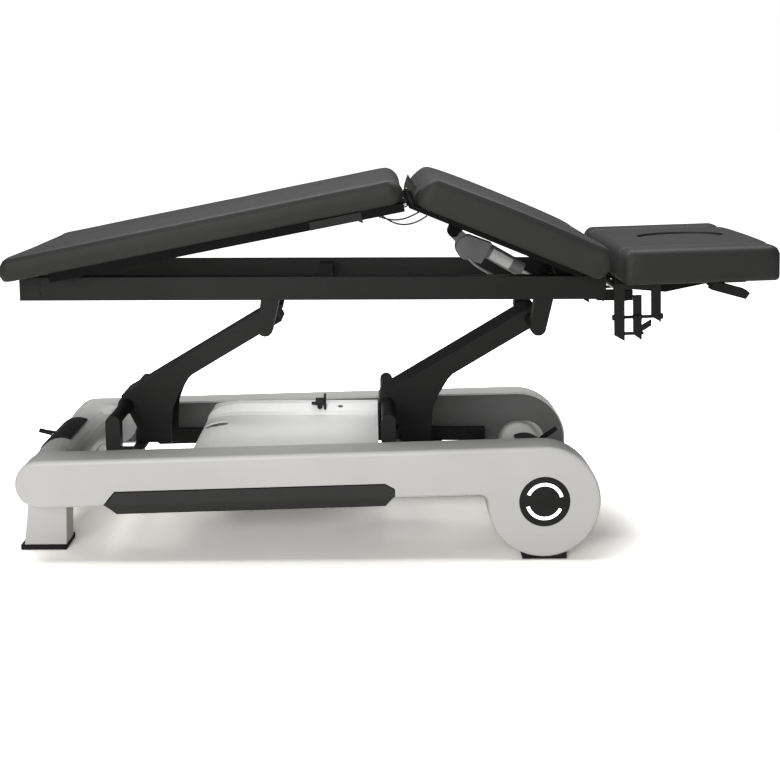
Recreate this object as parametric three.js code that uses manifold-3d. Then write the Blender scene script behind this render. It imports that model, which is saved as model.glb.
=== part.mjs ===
// Electric massage table with a parallelogram lift and three padded sections.
// Millimetres, +X towards the head end, +Z up, -Y is the near side.
import * as THREE from 'three';
import { mergeVertices } from 'three/addons/utils/BufferGeometryUtils.js';
import Module from 'manifold-3d';

const wasm = await Module();
wasm.setup();

// Shared clearances and facet counts
const seat = 0.3;
const overrun = 4;
const runningGap = 0.6;
const roundSides = 24;
const weldGap = 0.001;
const sliver = 0.02;

// Base: a beam on each side that ends in a big disc
const base = {
  slope: 1.404,
  capX: -911.5,
  capZ: 210.8,
  capRadius: 63,
  discSpan: 1313.5,
  discRadius: 149,
  filletRadius: 20,
  outerY: 325,
  innerY: 240,
  wall: 5,
  edgeRoll: 10,
  panelThick: 4,
};

// Rocker bar in the lower edge of each side cover, measured along the beam from the cap's centre
const footBar = {
  tip: 168,
  shoulder: 196,
  end: 920,
  top: 25,
  bottom: 86,
  nose: 58,
  heel: 39,
  corner: 23,
  gap: 3,
  depth: 34,
  proud: 1,
  bevel: 10,
};
const barPin = { above: -50, radius: 4, sink: 14, reach: 16, block: 15, blockTop: -40, blockBack: 27 };

const hub = { radius: 67, lift: 2.7, depth: 6, arcRadius: 46, arcWidth: 9, ringThick: 2, faceThick: 3 };
const arcEnds = [[15, 158], [197, 335]];

// Crossbars between the two covers
const footCrossbar = { radius: 60, flare: 80 };
const headCrossbar = { radius: 60, flare: 24 };
const coverPlate = { thick: 5, near: -100, far: 92, edge: 12, screwRadius: 4.5, screwHead: 1.5 };
const coverAngles = { foot: { start: 65, end: 168, screw: 69 }, head: { start: 15, end: 118, screw: 114 } };
const pedal = { radius: 6.5, rootRadius: 9, rootReach: 22, y: -12 };
const pedalTips = { foot: [-84.5, 56], head: [80, 109] };
const pedalAngles = { foot: 167, head: 35 };

// Feet
const post = {
  left: -982,
  right: -870,
  topLeft: -964,
  topRight: -866,
  near: 229,
  far: 141,
  fold: 16,
  top: 168,
};
const pad = { thick: 14, border: 2, left: -992 };
const discPad = { behind: 54.71, ahead: 62.29, outerY: 315, innerY: 252, top: 24 };

// Welded chassis and pivot stands
const chassis = {
  left: -768,
  right: 300,
  bottom: 165,
  top: 200,
  width: 34,
  plate: 8,
  tieWidth: 36,
  headTie: 135,
};
const stand = {
  width: 38,
  thick: 33.7,
  tubeRadius: 18,
  pivotZ: 352,
  backWidth: 34,
  backThick: 5,
  backTop: 288,
};
const footPivotX = -735;
const pivotSpacing = 732;

// Lift arms
const arm = {
  length: 470,
  angle: 31.06,
  halfWidth: 62,
  cheek: 8,
  wall: 4,
  above: 31,
  below: 21,
  rootRadius: 25,
  tail: 27,
  bossRadius: 16,
  leverReach: 168,
  leverAngle: -80,
  pinRadius: 8,
};
const gussetPoints = {
  heel: [8, -24],
  shin: [48, -104],
  toe: [122, -112],
  calf: [127, -15],
  bend: [143, 27],
  thigh: [170, 72],
  hip: [215, 118],
  seatPoint: [255, 139],
};

// Bed frame
const bed = {
  left: -980,
  right: 579,
  bottom: 673,
  top: 735,
  outerY: 194,
  beamWidth: 40,
  wall: 4,
  tieDepth: 40,
  tieTop: 728,
  tieX: -200,
  clevisTop: 690,
  headTieTop: 715,
  earOuterY: 194,
  earInnerY: 156,
  earWidth: 42,
  earTopWidth: 49,
  earLean: 14,
  boltRadius: 5,
  boltHead: 3,
  boltPlaces: [[-929, 713], [-928, 690]],
};
const headRail = { right: 655, bottom: 666, top: 694, innerY: 158, outerY: 176 };

// Sections, each drawn lying flat about its own hinge line
const boardThick = 22;
const boardHalfWidth = 285;
const cushionHalfWidth = 300;
const middle = {
  hingeX: 486,
  hingeZ: 715,
  raiseAngle: 22.2,
  apexReach: 490,
  padSetback: 6,
  cushionRight: 66,
  cushionThick: 84,
  boardThick: 12,
  boardSetback: 5,
  boardRight: 8,
  shaftRadius: 11,
  lugOuterY: 146,
  lugInnerY: 130,
  lugRadius: 20,
  lugReach: 74,
};
const boardUnder = bed.top + seat - middle.hingeZ;
const middleBoardLeft = middle.apexReach - middle.boardSetback;
const leg = {
  fallAngle: 11.3,
  glideReach: 935,
  glideRadius: 10.5,
  cushionLeft: 1066,
  cushionRight: 4,
  cushionThick: 66,
  footThinner: 4,
  boardRight: 5,
};
const apex = { padGap: 16.5, pinRadius: 4.5, barrelRadius: 8.5, knuckle: 50, knuckleStart: 50, strap: 8 };
const flap = { near: -283, far: -243 };
const flapSide = [
  [-5.5, 50],
  [-2, 55],
  [3.7, 47.5],
  [9, 47],
  [15, 46],
  [22, 50],
  [27, 56],
  [20, 62],
  [14, 71],
  [8, 81],
  [4.2, 87],
  [0.5, 79],
  [-3, 68],
  [-6.2, 56],
];
const legPlate = { right: 128, left: 252, height: 24, thick: 5 };
const cushion = {
  topRoll: 26,
  bottomRoll: 14,
  corner: 34,
  crown: 4,
  crownRun: 110,
  pull: 3,
  bulgeShare: 0.42,
};

// Head section
const head = {
  hingeX: 640,
  hingeZ: 680,
  tilt: 1.8,
  shaftRadius: 10,
  left: -31,
  sideRight: 375,
  centreRight: 384,
  halfWidth: 295,
  creaseY: 205,
  creaseWidth: 9,
  creaseDepth: 9,
  notch: 30,
  cushionUnder: 45.5,
  cushionThick: 88,
  boardHalfWidth: 240,
  lobeCorner: 30,
  lugOuterY: 150,
  lugInnerY: 134,
};
const wedge = { left: -20, dip: 87, ridge: 194, right: 300, leftZ: 29, dipZ: 17, ridgeZ: 36 };
const faceHole = { centre: 190, halfLength: 122, halfWidth: 74, gap: 1.5, plugDrop: 3 };
const lever = {
  pivotX: 212,
  pivotZ: 33,
  reach: 88,
  thick: 24,
  leanAngle: -17,
  bossRadius: 9,
  nearY: 280,
  farY: 244,
  pinRadius: 4,
  pinDepth: 24,
};

// Armrest carriers that hang under the head section
const carrier = {
  innerY: 240,
  thick: 8,
  top: 44,
  rail: 16,
  rodZ: -46,
  lowRodZ: -90,
  linkTop: 12,
  farShorter: 17,
  rodRadius: 4.5,
  bossRadius: 9,
  headRadius: 8,
  headThick: 5,
  linkGap: 0.5,
};
const carrierBars = { outer: [-50, -23, -110], link: [0, 22, -109], inner: [48, 73, -62] };

// Linear actuators
const liftDrive = {
  rearX: -440,
  z: 209,
  bodyRadius: 30,
  tubeRadius: 20,
  rodRadius: 11,
  motorLength: 120,
  motorRise: 42,
  tubeEnd: 305,
  rodStart: 200,
  slotRadius: 11,
  slotRise: 17,
  slotWall: 9,
  eyeHalf: 30,
  pinRadius: 6,
};
const backDrive = {
  knuckleX: -327,
  knuckleZ: -3,
  frameX: 440,
  frameZ: 690,
  knuckleRadius: 16,
  knuckleHalf: 12,
  gearX: 58,
  gearDrop: 19,
  gearRadius: 34,
  halfWidth: 29,
  blockEnd: 112,
  blockDrop: 40,
  blockRise: 24,
  tubeRadius: 22,
  tubeEnd: 226,
  tubeStart: 122,
  rodStart: 150,
  rodRadius: 10,
  eyeRadius: 15,
  eyeBore: 9,
  eyeRoom: 3,
  pinRadius: 4.5,
};

// Cover over the drive, between the side covers
const hump = { left: -529, right: -30, shoulder: 100, shoulderZ: 270, wall: 4, skirt: 206 };
const humpLine = {
  nearZ: 286,
  flatZ: 292,
  flatY: 48,
  creaseY: 56,
  creaseZ: 300,
  stepY: 64,
  stepZ: 322,
  ridgeY: 76,
  ridgeZ: 328,
  backY: 130,
  backZ: 312,
  farZ: 284,
};
const humpSlot = { left: -505, right: -475, y: -30, halfWidth: 22 };
const humpHole = { x: -139, z: 313, halfLength: 8, halfHeight: 3.5 };
const box = { left: -400, right: -210, height: 62, nearY: -190, farY: -70 };
const key = {
  y: 54,
  z: 329.5,
  left: -211,
  right: -188,
  radius: 11.5,
  stubRadius: 5,
  stubReach: 12,
  postRadius: 7,
  postZ: 314,
  postEnd: 80,
  stemRadius: 3,
  stemDepth: 14,
  bowThick: 7,
  bowHalfHeight: 24,
  bowHalfWidth: 2.5,
};

// Leads under the sections
const lead = { radius: 2.6, motorRadius: 4 };
const leadSides = 8;
const leadSteps = 12;
const leadPoints = {
  upper: [
    [-30, -240, 901.4],
    [-14, -240, 895],
    [8, -240, 891],
    [30, -240, 892],
    [52, -240, 899],
    [76, -240, 912.2],
  ],
  lower: [
    [-20, -252, 903.4],
    [0, -252, 889],
    [24, -252, 880],
    [50, -252, 880.5],
    [76, -252, 889],
    [96.5, -252, 903.8],
  ],
  motor: [
    [226, -33.3, 760],
    [236, -40, 748],
    [256, -60, 736],
    [284, -90, 724],
    [316, -130, 712],
    [345, -150.4, 704.6],
  ],
};

const radians = THREE.MathUtils.degToRad;

function solidOf(geometry) {
  const bare = geometry.clone();
  bare.deleteAttribute('normal');
  bare.deleteAttribute('uv');
  const merged = mergeVertices(bare, weldGap);
  const vertProperties = Float32Array.from(merged.attributes.position.array);
  const triVerts = Uint32Array.from(merged.index.array);
  return new wasm.Manifold(new wasm.Mesh({ numProp: 3, vertProperties, triVerts }));
}

function geometryOf(solid) {
  const mesh = solid.getMesh();
  const geometry = new THREE.BufferGeometry();
  geometry.setAttribute('position', new THREE.BufferAttribute(mesh.vertProperties, 3));
  geometry.setIndex(new THREE.BufferAttribute(mesh.triVerts, 1));
  return geometry;
}

const fuse = (...pieces) => geometryOf(pieces.map(solidOf).reduce((sum, piece) => sum.add(piece)));
const carve = (body, ...tools) => geometryOf(
  tools.map(solidOf).reduce((rest, tool) => rest.subtract(tool), solidOf(body)),
);

function block([x0, x1], [y0, y1], [z0, z1]) {
  const geometry = new THREE.BoxGeometry(x1 - x0, y1 - y0, z1 - z0);
  return geometry.translate((x0 + x1) / 2, (y0 + y1) / 2, (z0 + z1) / 2);
}

function rodAlongY(radius, [y0, y1], x, z, sides = roundSides) {
  return new THREE.CylinderGeometry(radius, radius, y1 - y0, sides).translate(x, (y0 + y1) / 2, z);
}

function rodAlongX(radius, [x0, x1], y, z, sides = roundSides) {
  const geometry = new THREE.CylinderGeometry(radius, radius, x1 - x0, sides).rotateZ(Math.PI / 2);
  return geometry.translate((x0 + x1) / 2, y, z);
}

// A plate with its outline in X and Z and its thickness along Y
function plate(outline, [y0, y1]) {
  const shape = new THREE.Shape(outline.map(([x, z]) => new THREE.Vector2(x, z)));
  const geometry = new THREE.ExtrudeGeometry(shape, { depth: y1 - y0, bevelEnabled: false });
  return geometry.rotateX(Math.PI / 2).translate(0, y1, 0);
}

// A closed skin through rings with the same number of points
function loft(rings, place) {
  const count = rings[0].outline.length;
  const points = rings.flatMap(({ outline, level }) => outline.map(([a, b]) => place(a, b, level)));
  const faces = [];
  for (let ring = 0; ring + 1 < rings.length; ring += 1) {
    for (let i = 0; i < count; i += 1) {
      const next = (i + 1) % count;
      const low = ring * count;
      const high = low + count;
      faces.push([low + i, low + next, high + next], [low + i, high + next, high + i]);
    }
  }
  const last = (rings.length - 1) * count;
  const flat = (outline) => outline.map(([a, b]) => new THREE.Vector2(a, b));
  const under = THREE.ShapeUtils.triangulateShape(flat(rings[0].outline), []);
  const over = THREE.ShapeUtils.triangulateShape(flat(rings[rings.length - 1].outline), []);
  under.forEach(([a, b, c]) => faces.push([c, b, a]));
  over.forEach(([a, b, c]) => faces.push([last + a, last + b, last + c]));
  const volume = faces.reduce((sum, [a, b, c]) => {
    const normal = new THREE.Vector3().crossVectors(points[b], points[c]);
    return sum + points[a].dot(normal);
  }, 0);
  const outward = volume > 0 ? faces : faces.map(([a, b, c]) => [c, b, a]);
  const geometry = new THREE.BufferGeometry().setFromPoints(points);
  geometry.setIndex(outward.flat());
  return geometry;
}

const alongY = (a, b, level) => new THREE.Vector3(a, level, b);
const alongZ = (a, b, level) => new THREE.Vector3(a, b, level);

function arc([x, z], radius, from, to, steps) {
  const points = [];
  for (let i = 0; i <= steps; i += 1) {
    const angle = radians(from + (to - from) * i / steps);
    points.push([x + radius * Math.cos(angle), z + radius * Math.sin(angle)]);
  }
  return points;
}

function turned([x, z], angle) {
  const c = Math.cos(radians(angle));
  const s = Math.sin(radians(angle));
  return [x * c - z * s, x * s + z * c];
}

// From distances along and above the beam to X and Z
function onBeam([along, above]) {
  const [x, z] = turned([along, above], base.slope);
  return [base.capX + x, base.capZ + z];
}

const discDrop = base.discRadius - base.capRadius;
const discCentre = onBeam([base.discSpan, -discDrop]);
const sides = { near: -1, far: 1 };
const spanY = (side, a, b) => [side * a, side * b].sort((low, high) => low - high);

const model = new THREE.Group();
const finishes = {
  shell: { color: 0xdadbda, roughness: 0.45, metalness: 0 },
  panel: { color: 0x5d5d5c, roughness: 0.6, metalness: 0 },
  steel: { color: 0x2d2e2d, roughness: 0.5, metalness: 0.3 },
  vinyl: { color: 0x3c3c3b, roughness: 0.55, metalness: 0 },
  rubber: { color: 0x161616, roughness: 0.85, metalness: 0 },
  light: { color: 0xf4f4f2, roughness: 0.3, metalness: 0 },
  drive: { color: 0x77787a, roughness: 0.5, metalness: 0.1 },
  zinc: { color: 0xa9abad, roughness: 0.35, metalness: 0.8 },
};

function add(name, geometry, finish, parent = model) {
  const mesh = new THREE.Mesh(geometry, new THREE.MeshStandardMaterial(finishes[finish]));
  mesh.name = name;
  parent.add(mesh);
  return mesh;
}

// Outline of a side cover, drawn in by an inset
function coverOutline(inset) {
  const cap = base.capRadius - inset;
  const disc = base.discRadius - inset;
  const fillet = base.filletRadius + inset;
  const centre = [base.discSpan, -discDrop];
  const filletZ = -base.capRadius - base.filletRadius;
  const rise = filletZ + discDrop;
  const run = Math.sqrt((base.discRadius + base.filletRadius) ** 2 - rise ** 2);
  const filletCentre = [base.discSpan - run, filletZ];
  const meet = THREE.MathUtils.radToDeg(Math.atan2(rise, -run));
  return [
    ...arc([0, 0], cap, 90, 270, 14),
    ...arc(filletCentre, fillet, 90, meet - 180, 5),
    ...arc(centre, disc, meet, 450, 34),
  ].map(onBeam);
}

// Moves every edge of an outline that runs anticlockwise outwards by the same amount
function grown(outline, by) {
  const count = outline.length;
  const normal = (i) => {
    const [x0, z0] = outline[i % count];
    const [x1, z1] = outline[(i + 1) % count];
    const long = Math.hypot(x1 - x0, z1 - z0);
    return [(z1 - z0) / long, -(x1 - x0) / long];
  };
  return outline.map(([x, z], i) => {
    const [ax, az] = normal(i + count - 1);
    const [bx, bz] = normal(i);
    const scale = by / (1 + ax * bx + az * bz);
    return [x + (ax + bx) * scale, z + (az + bz) * scale];
  });
}

function barOutline(grow) {
  return grown([
    [footBar.tip, -footBar.nose],
    [footBar.shoulder, -footBar.bottom],
    [footBar.end - footBar.corner, -footBar.bottom],
    [footBar.end, -footBar.nose],
    [footBar.end, -footBar.heel],
    [footBar.end - footBar.corner, -footBar.top],
    [footBar.shoulder, -footBar.top],
  ], grow).map(onBeam);
}

// The rocker bar's pins and their blocks lie on one line along the beam
const barPinY = base.outerY - footBar.depth / 2;
const barEnds = [footBar.tip - footBar.gap * 2, footBar.end + footBar.gap * 2];
const barSpans = [
  {
    pin: [footBar.tip - barPin.reach, footBar.tip + barPin.sink],
    block: [barEnds[0] - barPin.block, barEnds[0]],
  },
  {
    pin: [footBar.end - barPin.sink, footBar.end + barPin.reach],
    block: [barEnds[1], barEnds[1] + barPin.block],
  },
];

const fromBeam = (geometry) => geometry.rotateY(-radians(base.slope)).translate(base.capX, 0, base.capZ);

function beamRod(radius, [from, to], side) {
  return fromBeam(rodAlongX(radius, [from, to], side * barPinY, barPin.above, 16));
}

function barBlock([from, to], side) {
  const geometry = block(
    [from, to],
    spanY(side, base.outerY - barPin.blockBack, base.outerY - base.wall + seat),
    [-base.capRadius + base.wall - seat, barPin.blockTop],
  );
  return fromBeam(geometry);
}

// What the lower half of the bar's face loses, so that it slants in towards its lower edge
function barBevel(side) {
  const lean = Math.atan2(footBar.bevel, footBar.bottom - footBar.nose);
  const geometry = block([0, footBar.end + overrun], spanY(side, 0, footBar.depth), [-footBar.bottom, 0]);
  const faceY = side * (base.outerY + footBar.proud);
  return fromBeam(geometry.rotateX(-side * lean).translate(0, faceY, -footBar.nose));
}

function sideCover(side) {
  const faceY = base.outerY - base.edgeRoll;
  const roll = [90, 60, 30, 0].map((angle) => ({
    outline: coverOutline(base.edgeRoll * (1 - Math.cos(radians(angle)))),
    level: side * (faceY + base.edgeRoll * Math.sin(radians(angle))),
  }));
  const skin = loft([...roll, { outline: coverOutline(0), level: side * base.innerY }], alongY);
  const inside = coverOutline(base.wall);
  const hollow = loft([
    { outline: coverOutline(base.wall + base.edgeRoll), level: side * (base.outerY - base.wall) },
    { outline: inside, level: side * faceY },
    { outline: inside, level: side * (base.innerY - overrun) },
  ], alongY);
  const notchY = spanY(side, base.outerY - footBar.depth, base.outerY + overrun);
  const notch = plate(barOutline(footBar.gap), notchY);
  const pocketY = spanY(side, base.outerY - base.wall - overrun, base.outerY + overrun);
  const pocket = rodAlongY(hub.radius + seat, pocketY, discCentre[0], discCentre[1] + hub.lift, 40);
  const shell = carve(skin, hollow, notch, pocket);
  const blocks = barSpans.map((spans) => barBlock(spans.block, side));
  const bores = barSpans.map(({ pin: [from, to] }) => beamRod(
    barPin.radius + seat,
    [from - seat, to + seat],
    side,
  ));
  return carve(fuse(shell, ...blocks), ...bores);
}

function innerPanel(side) {
  const outline = coverOutline(base.wall + seat);
  return loft([
    { outline, level: side * (base.innerY + base.panelThick) },
    { outline, level: side * base.innerY },
  ], alongY);
}

function ringSector(inner, outer, from, to, yRange) {
  const centre = [discCentre[0], discCentre[1] + hub.lift];
  const steps = Math.ceil((to - from) / 12);
  return plate([...arc(centre, outer, from, to, steps), ...arc(centre, inner, to, from, steps)], yRange);
}

// Black hub cap with two slots, and the light ring that shows through them
function hubPieces(side) {
  const [x, z] = [discCentre[0], discCentre[1] + hub.lift];
  const face = base.outerY - seat;
  const backY = base.outerY - base.wall - hub.depth;
  const halfArc = hub.arcWidth / 2;
  const slots = arcEnds.map(([from, to]) => ringSector(
    hub.arcRadius - halfArc,
    hub.arcRadius + halfArc,
    from,
    to,
    spanY(side, backY - overrun, face + overrun),
  ));
  const recessY = spanY(side, backY - overrun, face - hub.faceThick);
  const recess = rodAlongY(hub.arcRadius + hub.arcWidth, recessY, x, z, 40);
  const cap = carve(rodAlongY(hub.radius, spanY(side, backY, face), x, z, 40), recess, ...slots);
  const ringY = spanY(side, face - hub.faceThick - seat - hub.ringThick, face - hub.faceThick - seat);
  const outer = hub.arcRadius + hub.arcWidth - seat;
  const eyeY = spanY(side, 0, base.outerY + overrun);
  const eye = rodAlongY(hub.arcRadius - hub.arcWidth, eyeY, x, z, 40);
  const ring = carve(rodAlongY(outer, ringY, x, z, 40), eye);
  const guides = arcEnds.map(([from, to]) => ringSector(
    hub.arcRadius - halfArc + seat,
    hub.arcRadius + halfArc - seat,
    from + 1,
    to - 1,
    spanY(side, face - hub.faceThick - seat - hub.ringThick, face - seat),
  ));
  return { cap, ring: fuse(ring, ...guides) };
}

function addSideCovers() {
  Object.entries(sides).forEach(([name, side]) => {
    add(`${name}_side_cover`, sideCover(side), 'shell');
    add(`${name}_inner_panel`, innerPanel(side), 'panel');
    const { cap, ring } = hubPieces(side);
    add(`${name}_hub_cap`, cap, 'rubber');
    add(`${name}_light_ring`, ring, 'light');
    const y = spanY(side, base.outerY - footBar.depth + footBar.gap, base.outerY + footBar.proud);
    const pins = barSpans.map((spans) => beamRod(barPin.radius, spans.pin, side));
    const bar = carve(plate(barOutline(0), y), barBevel(side));
    add(`${name}_foot_bar`, fuse(bar, ...pins), 'rubber');
  });
}

// A bar between the covers whose ends widen along X into the covers' inner faces
function crossbar([x, z], radius, flare) {
  const end = base.innerY - seat;
  const ringAt = (angle, side) => {
    const shift = flare * (1 - Math.cos(radians(angle))) + sliver;
    return {
      outline: [...arc([x, z], radius, 90, 270, 12), ...arc([x + shift, z], radius, -90, 90, 12)],
      level: side * (end - flare * (1 - Math.sin(radians(angle)))),
    };
  };
  const angles = [90, 70, 50, 30, 0];
  const near = angles.map((angle) => ringAt(angle, -1));
  const far = angles.map((angle) => ringAt(angle, 1)).reverse();
  return loft([...near, ...far], alongY);
}

function curvedPlate([x, z], inner, thick, startAngle, sweepAngle, yRange) {
  const steps = Math.ceil(sweepAngle / 6);
  const end = startAngle + sweepAngle;
  const outer = arc([x, z], inner + thick, startAngle, end, steps);
  return plate([...outer, ...arc([x, z], inner, end, startAngle, steps)], yRange);
}

// A round pin that points away from the axis of a crossbar
function radialPin([x, z], y, angle, start, length, rootRadius, tipRadius) {
  const pin = new THREE.CylinderGeometry(tipRadius, rootRadius, length, 16);
  pin.translate(0, start + length / 2, 0).rotateX(Math.PI / 2);
  return pin.rotateY(radians(90 - angle)).translate(x, y, z);
}

const capCentre = [base.capX, base.capZ];

function addCrossbars() {
  add('foot_crossbar', crossbar(capCentre, footCrossbar.radius, footCrossbar.flare), 'shell');
  add('head_crossbar', crossbar(discCentre, headCrossbar.radius, headCrossbar.flare), 'shell');
  const addCover = (name, centre, radius) => {
    const inner = radius + seat;
    const { start, end, screw } = coverAngles[name];
    const y = [coverPlate.near, coverPlate.far];
    const skin = curvedPlate(centre, inner, coverPlate.thick, start, end - start, y);
    const screwYs = [coverPlate.near + coverPlate.edge, coverPlate.far - coverPlate.edge];
    const screws = screwYs.map((screwY) => radialPin(
      centre,
      screwY,
      screw,
      inner + coverPlate.thick / 2,
      coverPlate.thick / 2 + coverPlate.screwHead,
      coverPlate.screwRadius,
      coverPlate.screwRadius,
    ));
    add(`${name}_pedal_cover`, fuse(skin, ...screws), 'rubber');
  };
  addCover('foot', capCentre, footCrossbar.radius);
  addCover('head', discCentre, headCrossbar.radius);
}

// A pedal swings about the axis of its crossbar: a rod that stands on the cover plate
function addPedals() {
  const addPedal = (name, [x, z], radius) => {
    const surface = radius + coverPlate.thick + seat * 2;
    const tip = pedalTips[name];
    const angle = pedalAngles[name];
    const back = turned([surface, 0], angle);
    const root = [x + tip[0] - back[0], z + tip[1] - back[1]];
    const rod = radialPin(root, pedal.y, angle, 0, surface, pedal.radius, pedal.radius);
    const [along, across] = turned(tip, -angle);
    const start = surface - along + Math.sqrt(surface ** 2 - across ** 2);
    const collar = radialPin(
      root,
      pedal.y,
      angle,
      start - pedal.rootReach,
      pedal.rootReach * 2,
      pedal.rootRadius,
      pedal.radius,
    );
    const drum = rodAlongY(surface, [pedal.y - radius, pedal.y + radius], x, z, 96);
    add(`${name}_pedal`, carve(fuse(rod, collar), drum), 'rubber');
  };
  addPedal('foot', capCentre, footCrossbar.radius);
  addPedal('head', discCentre, headCrossbar.radius);
}

function addFeet() {
  Object.entries(sides).forEach(([name, side]) => {
    const y = spanY(side, post.far, post.near);
    const outline = [
      [post.left, pad.thick + seat],
      [post.right, pad.thick + seat],
      [post.topRight, post.top],
      [post.topLeft, post.top],
    ];
    const bar = crossbar(capCentre, footCrossbar.radius + seat, footCrossbar.flare + seat);
    const fold = plate([
      [post.right - post.fold, pad.thick],
      [post.right + overrun, pad.thick],
      [post.topRight + overrun, post.top + overrun],
    ], spanY(side, post.far - overrun, post.far + post.fold));
    add(`${name}_foot_post`, carve(plate(outline, y), bar, fold), 'shell');
    const padY = spanY(side, post.far - pad.border, post.near + pad.border);
    add(`${name}_foot_pad`, block([pad.left, post.right], padY, [0, pad.thick]), 'rubber');
    const disc = rodAlongY(base.discRadius + seat, spanY(side, 0, base.outerY), ...discCentre, 96);
    const shoeX = [discCentre[0] - discPad.behind, discCentre[0] + discPad.ahead];
    const shoe = block(shoeX, spanY(side, discPad.innerY, discPad.outerY), [0, discPad.top]);
    add(`${name}_disc_pad`, carve(shoe, disc), 'rubber');
  });
}

const pivots = { foot: footPivotX, head: footPivotX + pivotSpacing };

// The welded frame under the covers: two rails and five ties
function addChassis() {
  const outer = base.innerY - seat;
  const rails = Object.values(sides).map((side) => block(
    [chassis.left, chassis.right],
    spanY(side, outer - chassis.width, outer),
    [chassis.bottom, chassis.top],
  ));
  const tieY = [-outer + seat, outer - seat];
  const tieXs = [
    chassis.left,
    liftDrive.rearX - chassis.tieWidth,
    pivots.head - chassis.headTie,
    pivots.head + chassis.headTie,
  ];
  const ties = [...tieXs, chassis.right - chassis.tieWidth].map((x) => block(
    [x, x + chassis.tieWidth],
    tieY,
    [chassis.bottom - chassis.plate, chassis.bottom + seat],
  ));
  const [x, z] = [liftDrive.rearX, liftDrive.z];
  const ears = Object.values(sides).map((side) => block(
    [x - chassis.tieWidth, x + liftDrive.rodRadius],
    spanY(side, liftDrive.bodyRadius + seat, liftDrive.bodyRadius + seat + chassis.plate),
    [chassis.bottom, z + liftDrive.rodRadius],
  ));
  add('chassis', fuse(...rails, ...ties, ...ears), 'steel');
}

// Two uprights with the cross tube that an arm turns on
function addStands() {
  const outer = base.innerY - seat;
  Object.entries(pivots).forEach(([name, x]) => {
    const half = stand.width / 2;
    const uprights = Object.values(sides).flatMap((side) => {
      const y = spanY(side, outer - stand.thick, outer);
      const post = block([x - half, x + half], y, [chassis.top + seat, stand.pivotZ]);
      return [post, rodAlongY(half, y, x, stand.pivotZ)];
    });
    const tube = rodAlongY(stand.tubeRadius, [-outer + seat, outer - seat], x, stand.pivotZ);
    const back = Object.values(sides).map((side) => block(
      [x + half - seat, x + half + stand.backWidth],
      spanY(side, outer - stand.backThick, outer),
      [chassis.top + seat, stand.backTop],
    ));
    add(`${name}_pivot_stand`, fuse(...uprights, ...back, tube), 'steel');
  });
}

// Side view of an arm's box about its lower pivot
function armParts() {
  const { above, below, length, tail } = arm;
  const beam = [[0, -below], [length + tail, -below], [length + tail, above], [0, above]];
  return beam.map((point) => turned(point, arm.angle));
}

function armGeometry(pivotX, pushed) {
  const at = ([x, z]) => [pivotX + x, stand.pivotZ + z];
  const y = [-arm.halfWidth, arm.halfWidth];
  const beam = plate(armParts().map(at), y);
  const root = rodAlongY(arm.rootRadius, y, pivotX, stand.pivotZ, 32);
  const innerTop = arm.above - arm.wall;
  const innerBottom = -arm.below + arm.wall;
  const start = arm.rootRadius + arm.wall;
  const end = arm.length - arm.rootRadius - arm.wall;
  const hollow = [[start, innerBottom], [end, innerBottom], [end, innerTop], [start, innerTop]];
  const drain = block(
    [-arm.bossRadius, arm.bossRadius],
    [-arm.bossRadius, arm.bossRadius],
    [-arm.below - overrun, 0],
  ).translate(arm.length / 2, 0, 0).rotateY(-radians(arm.angle)).translate(pivotX, 0, stand.pivotZ);
  const inside = plate(
    hollow.map((point) => at(turned(point, arm.angle))),
    [-arm.halfWidth + arm.wall, arm.halfWidth - arm.wall],
  );
  const g = gussetPoints;
  const pin = turned([arm.leverReach, 0], arm.leverAngle);
  const leverFoot = pushed ? [[pin[0] - arm.bossRadius, pin[1]], [pin[0] + arm.bossRadius, pin[1]]] : [];
  const gusset = [g.heel, g.shin, ...leverFoot, g.toe, g.calf, g.bend, g.thigh, g.hip, g.seatPoint,
    turned([arm.length / 2, 0], arm.angle), [0, 0]];
  const cheeks = Object.values(sides).flatMap((side) => {
    const cheekY = spanY(side, arm.halfWidth - arm.cheek, arm.halfWidth);
    const boss = rodAlongY(arm.bossRadius, cheekY, ...at(pin));
    return pushed ? [plate(gusset.map(at), cheekY), boss] : [plate(gusset.map(at), cheekY)];
  });
  const pinRods = pushed ? [rodAlongY(arm.pinRadius, y, ...at(pin))] : [];
  const bore = stand.tubeRadius + runningGap;
  const top = turned([arm.length, 0], arm.angle);
  const boreY = [y[0] - overrun, y[1] + overrun];
  const bores = [[0, 0], top].map((centre) => rodAlongY(bore, boreY, ...at(centre), 32));
  return carve(fuse(carve(fuse(beam, root), inside, drain), ...cheeks, ...pinRods), ...bores);
}

function addArms() {
  Object.entries(pivots).forEach(([name, x]) => {
    add(`${name}_lift_arm`, armGeometry(x, name === 'head'), 'steel');
  });
}

const armTop = turned([arm.length, 0], arm.angle);
const upperPivots = Object.fromEntries(Object.entries(pivots).map(([name, x]) => [name, x + armTop[0]]));
const upperPivotZ = stand.pivotZ + armTop[1];

// Ears under the beams with the cross tube that the top of an arm turns on
function addUpperBrackets() {
  Object.entries(upperPivots).forEach(([name, x]) => {
    const ears = Object.values(sides).flatMap((side) => {
      const y = spanY(side, bed.earInnerY, bed.earOuterY);
      const [half, topHalf] = [bed.earWidth / 2, bed.earTopWidth / 2];
      const outline = [
        [x - half, upperPivotZ],
        [x + half, upperPivotZ],
        [x + bed.earLean + topHalf, bed.bottom - seat],
        [x + bed.earLean - topHalf, bed.bottom - seat],
      ];
      return [plate(outline, y), rodAlongY(half, y, x, upperPivotZ)];
    });
    const tube = rodAlongY(stand.tubeRadius, [-bed.earOuterY + seat, bed.earOuterY - seat], x, upperPivotZ);
    add(`${name}_upper_bracket`, fuse(...ears, tube), 'steel');
  });
}

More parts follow.
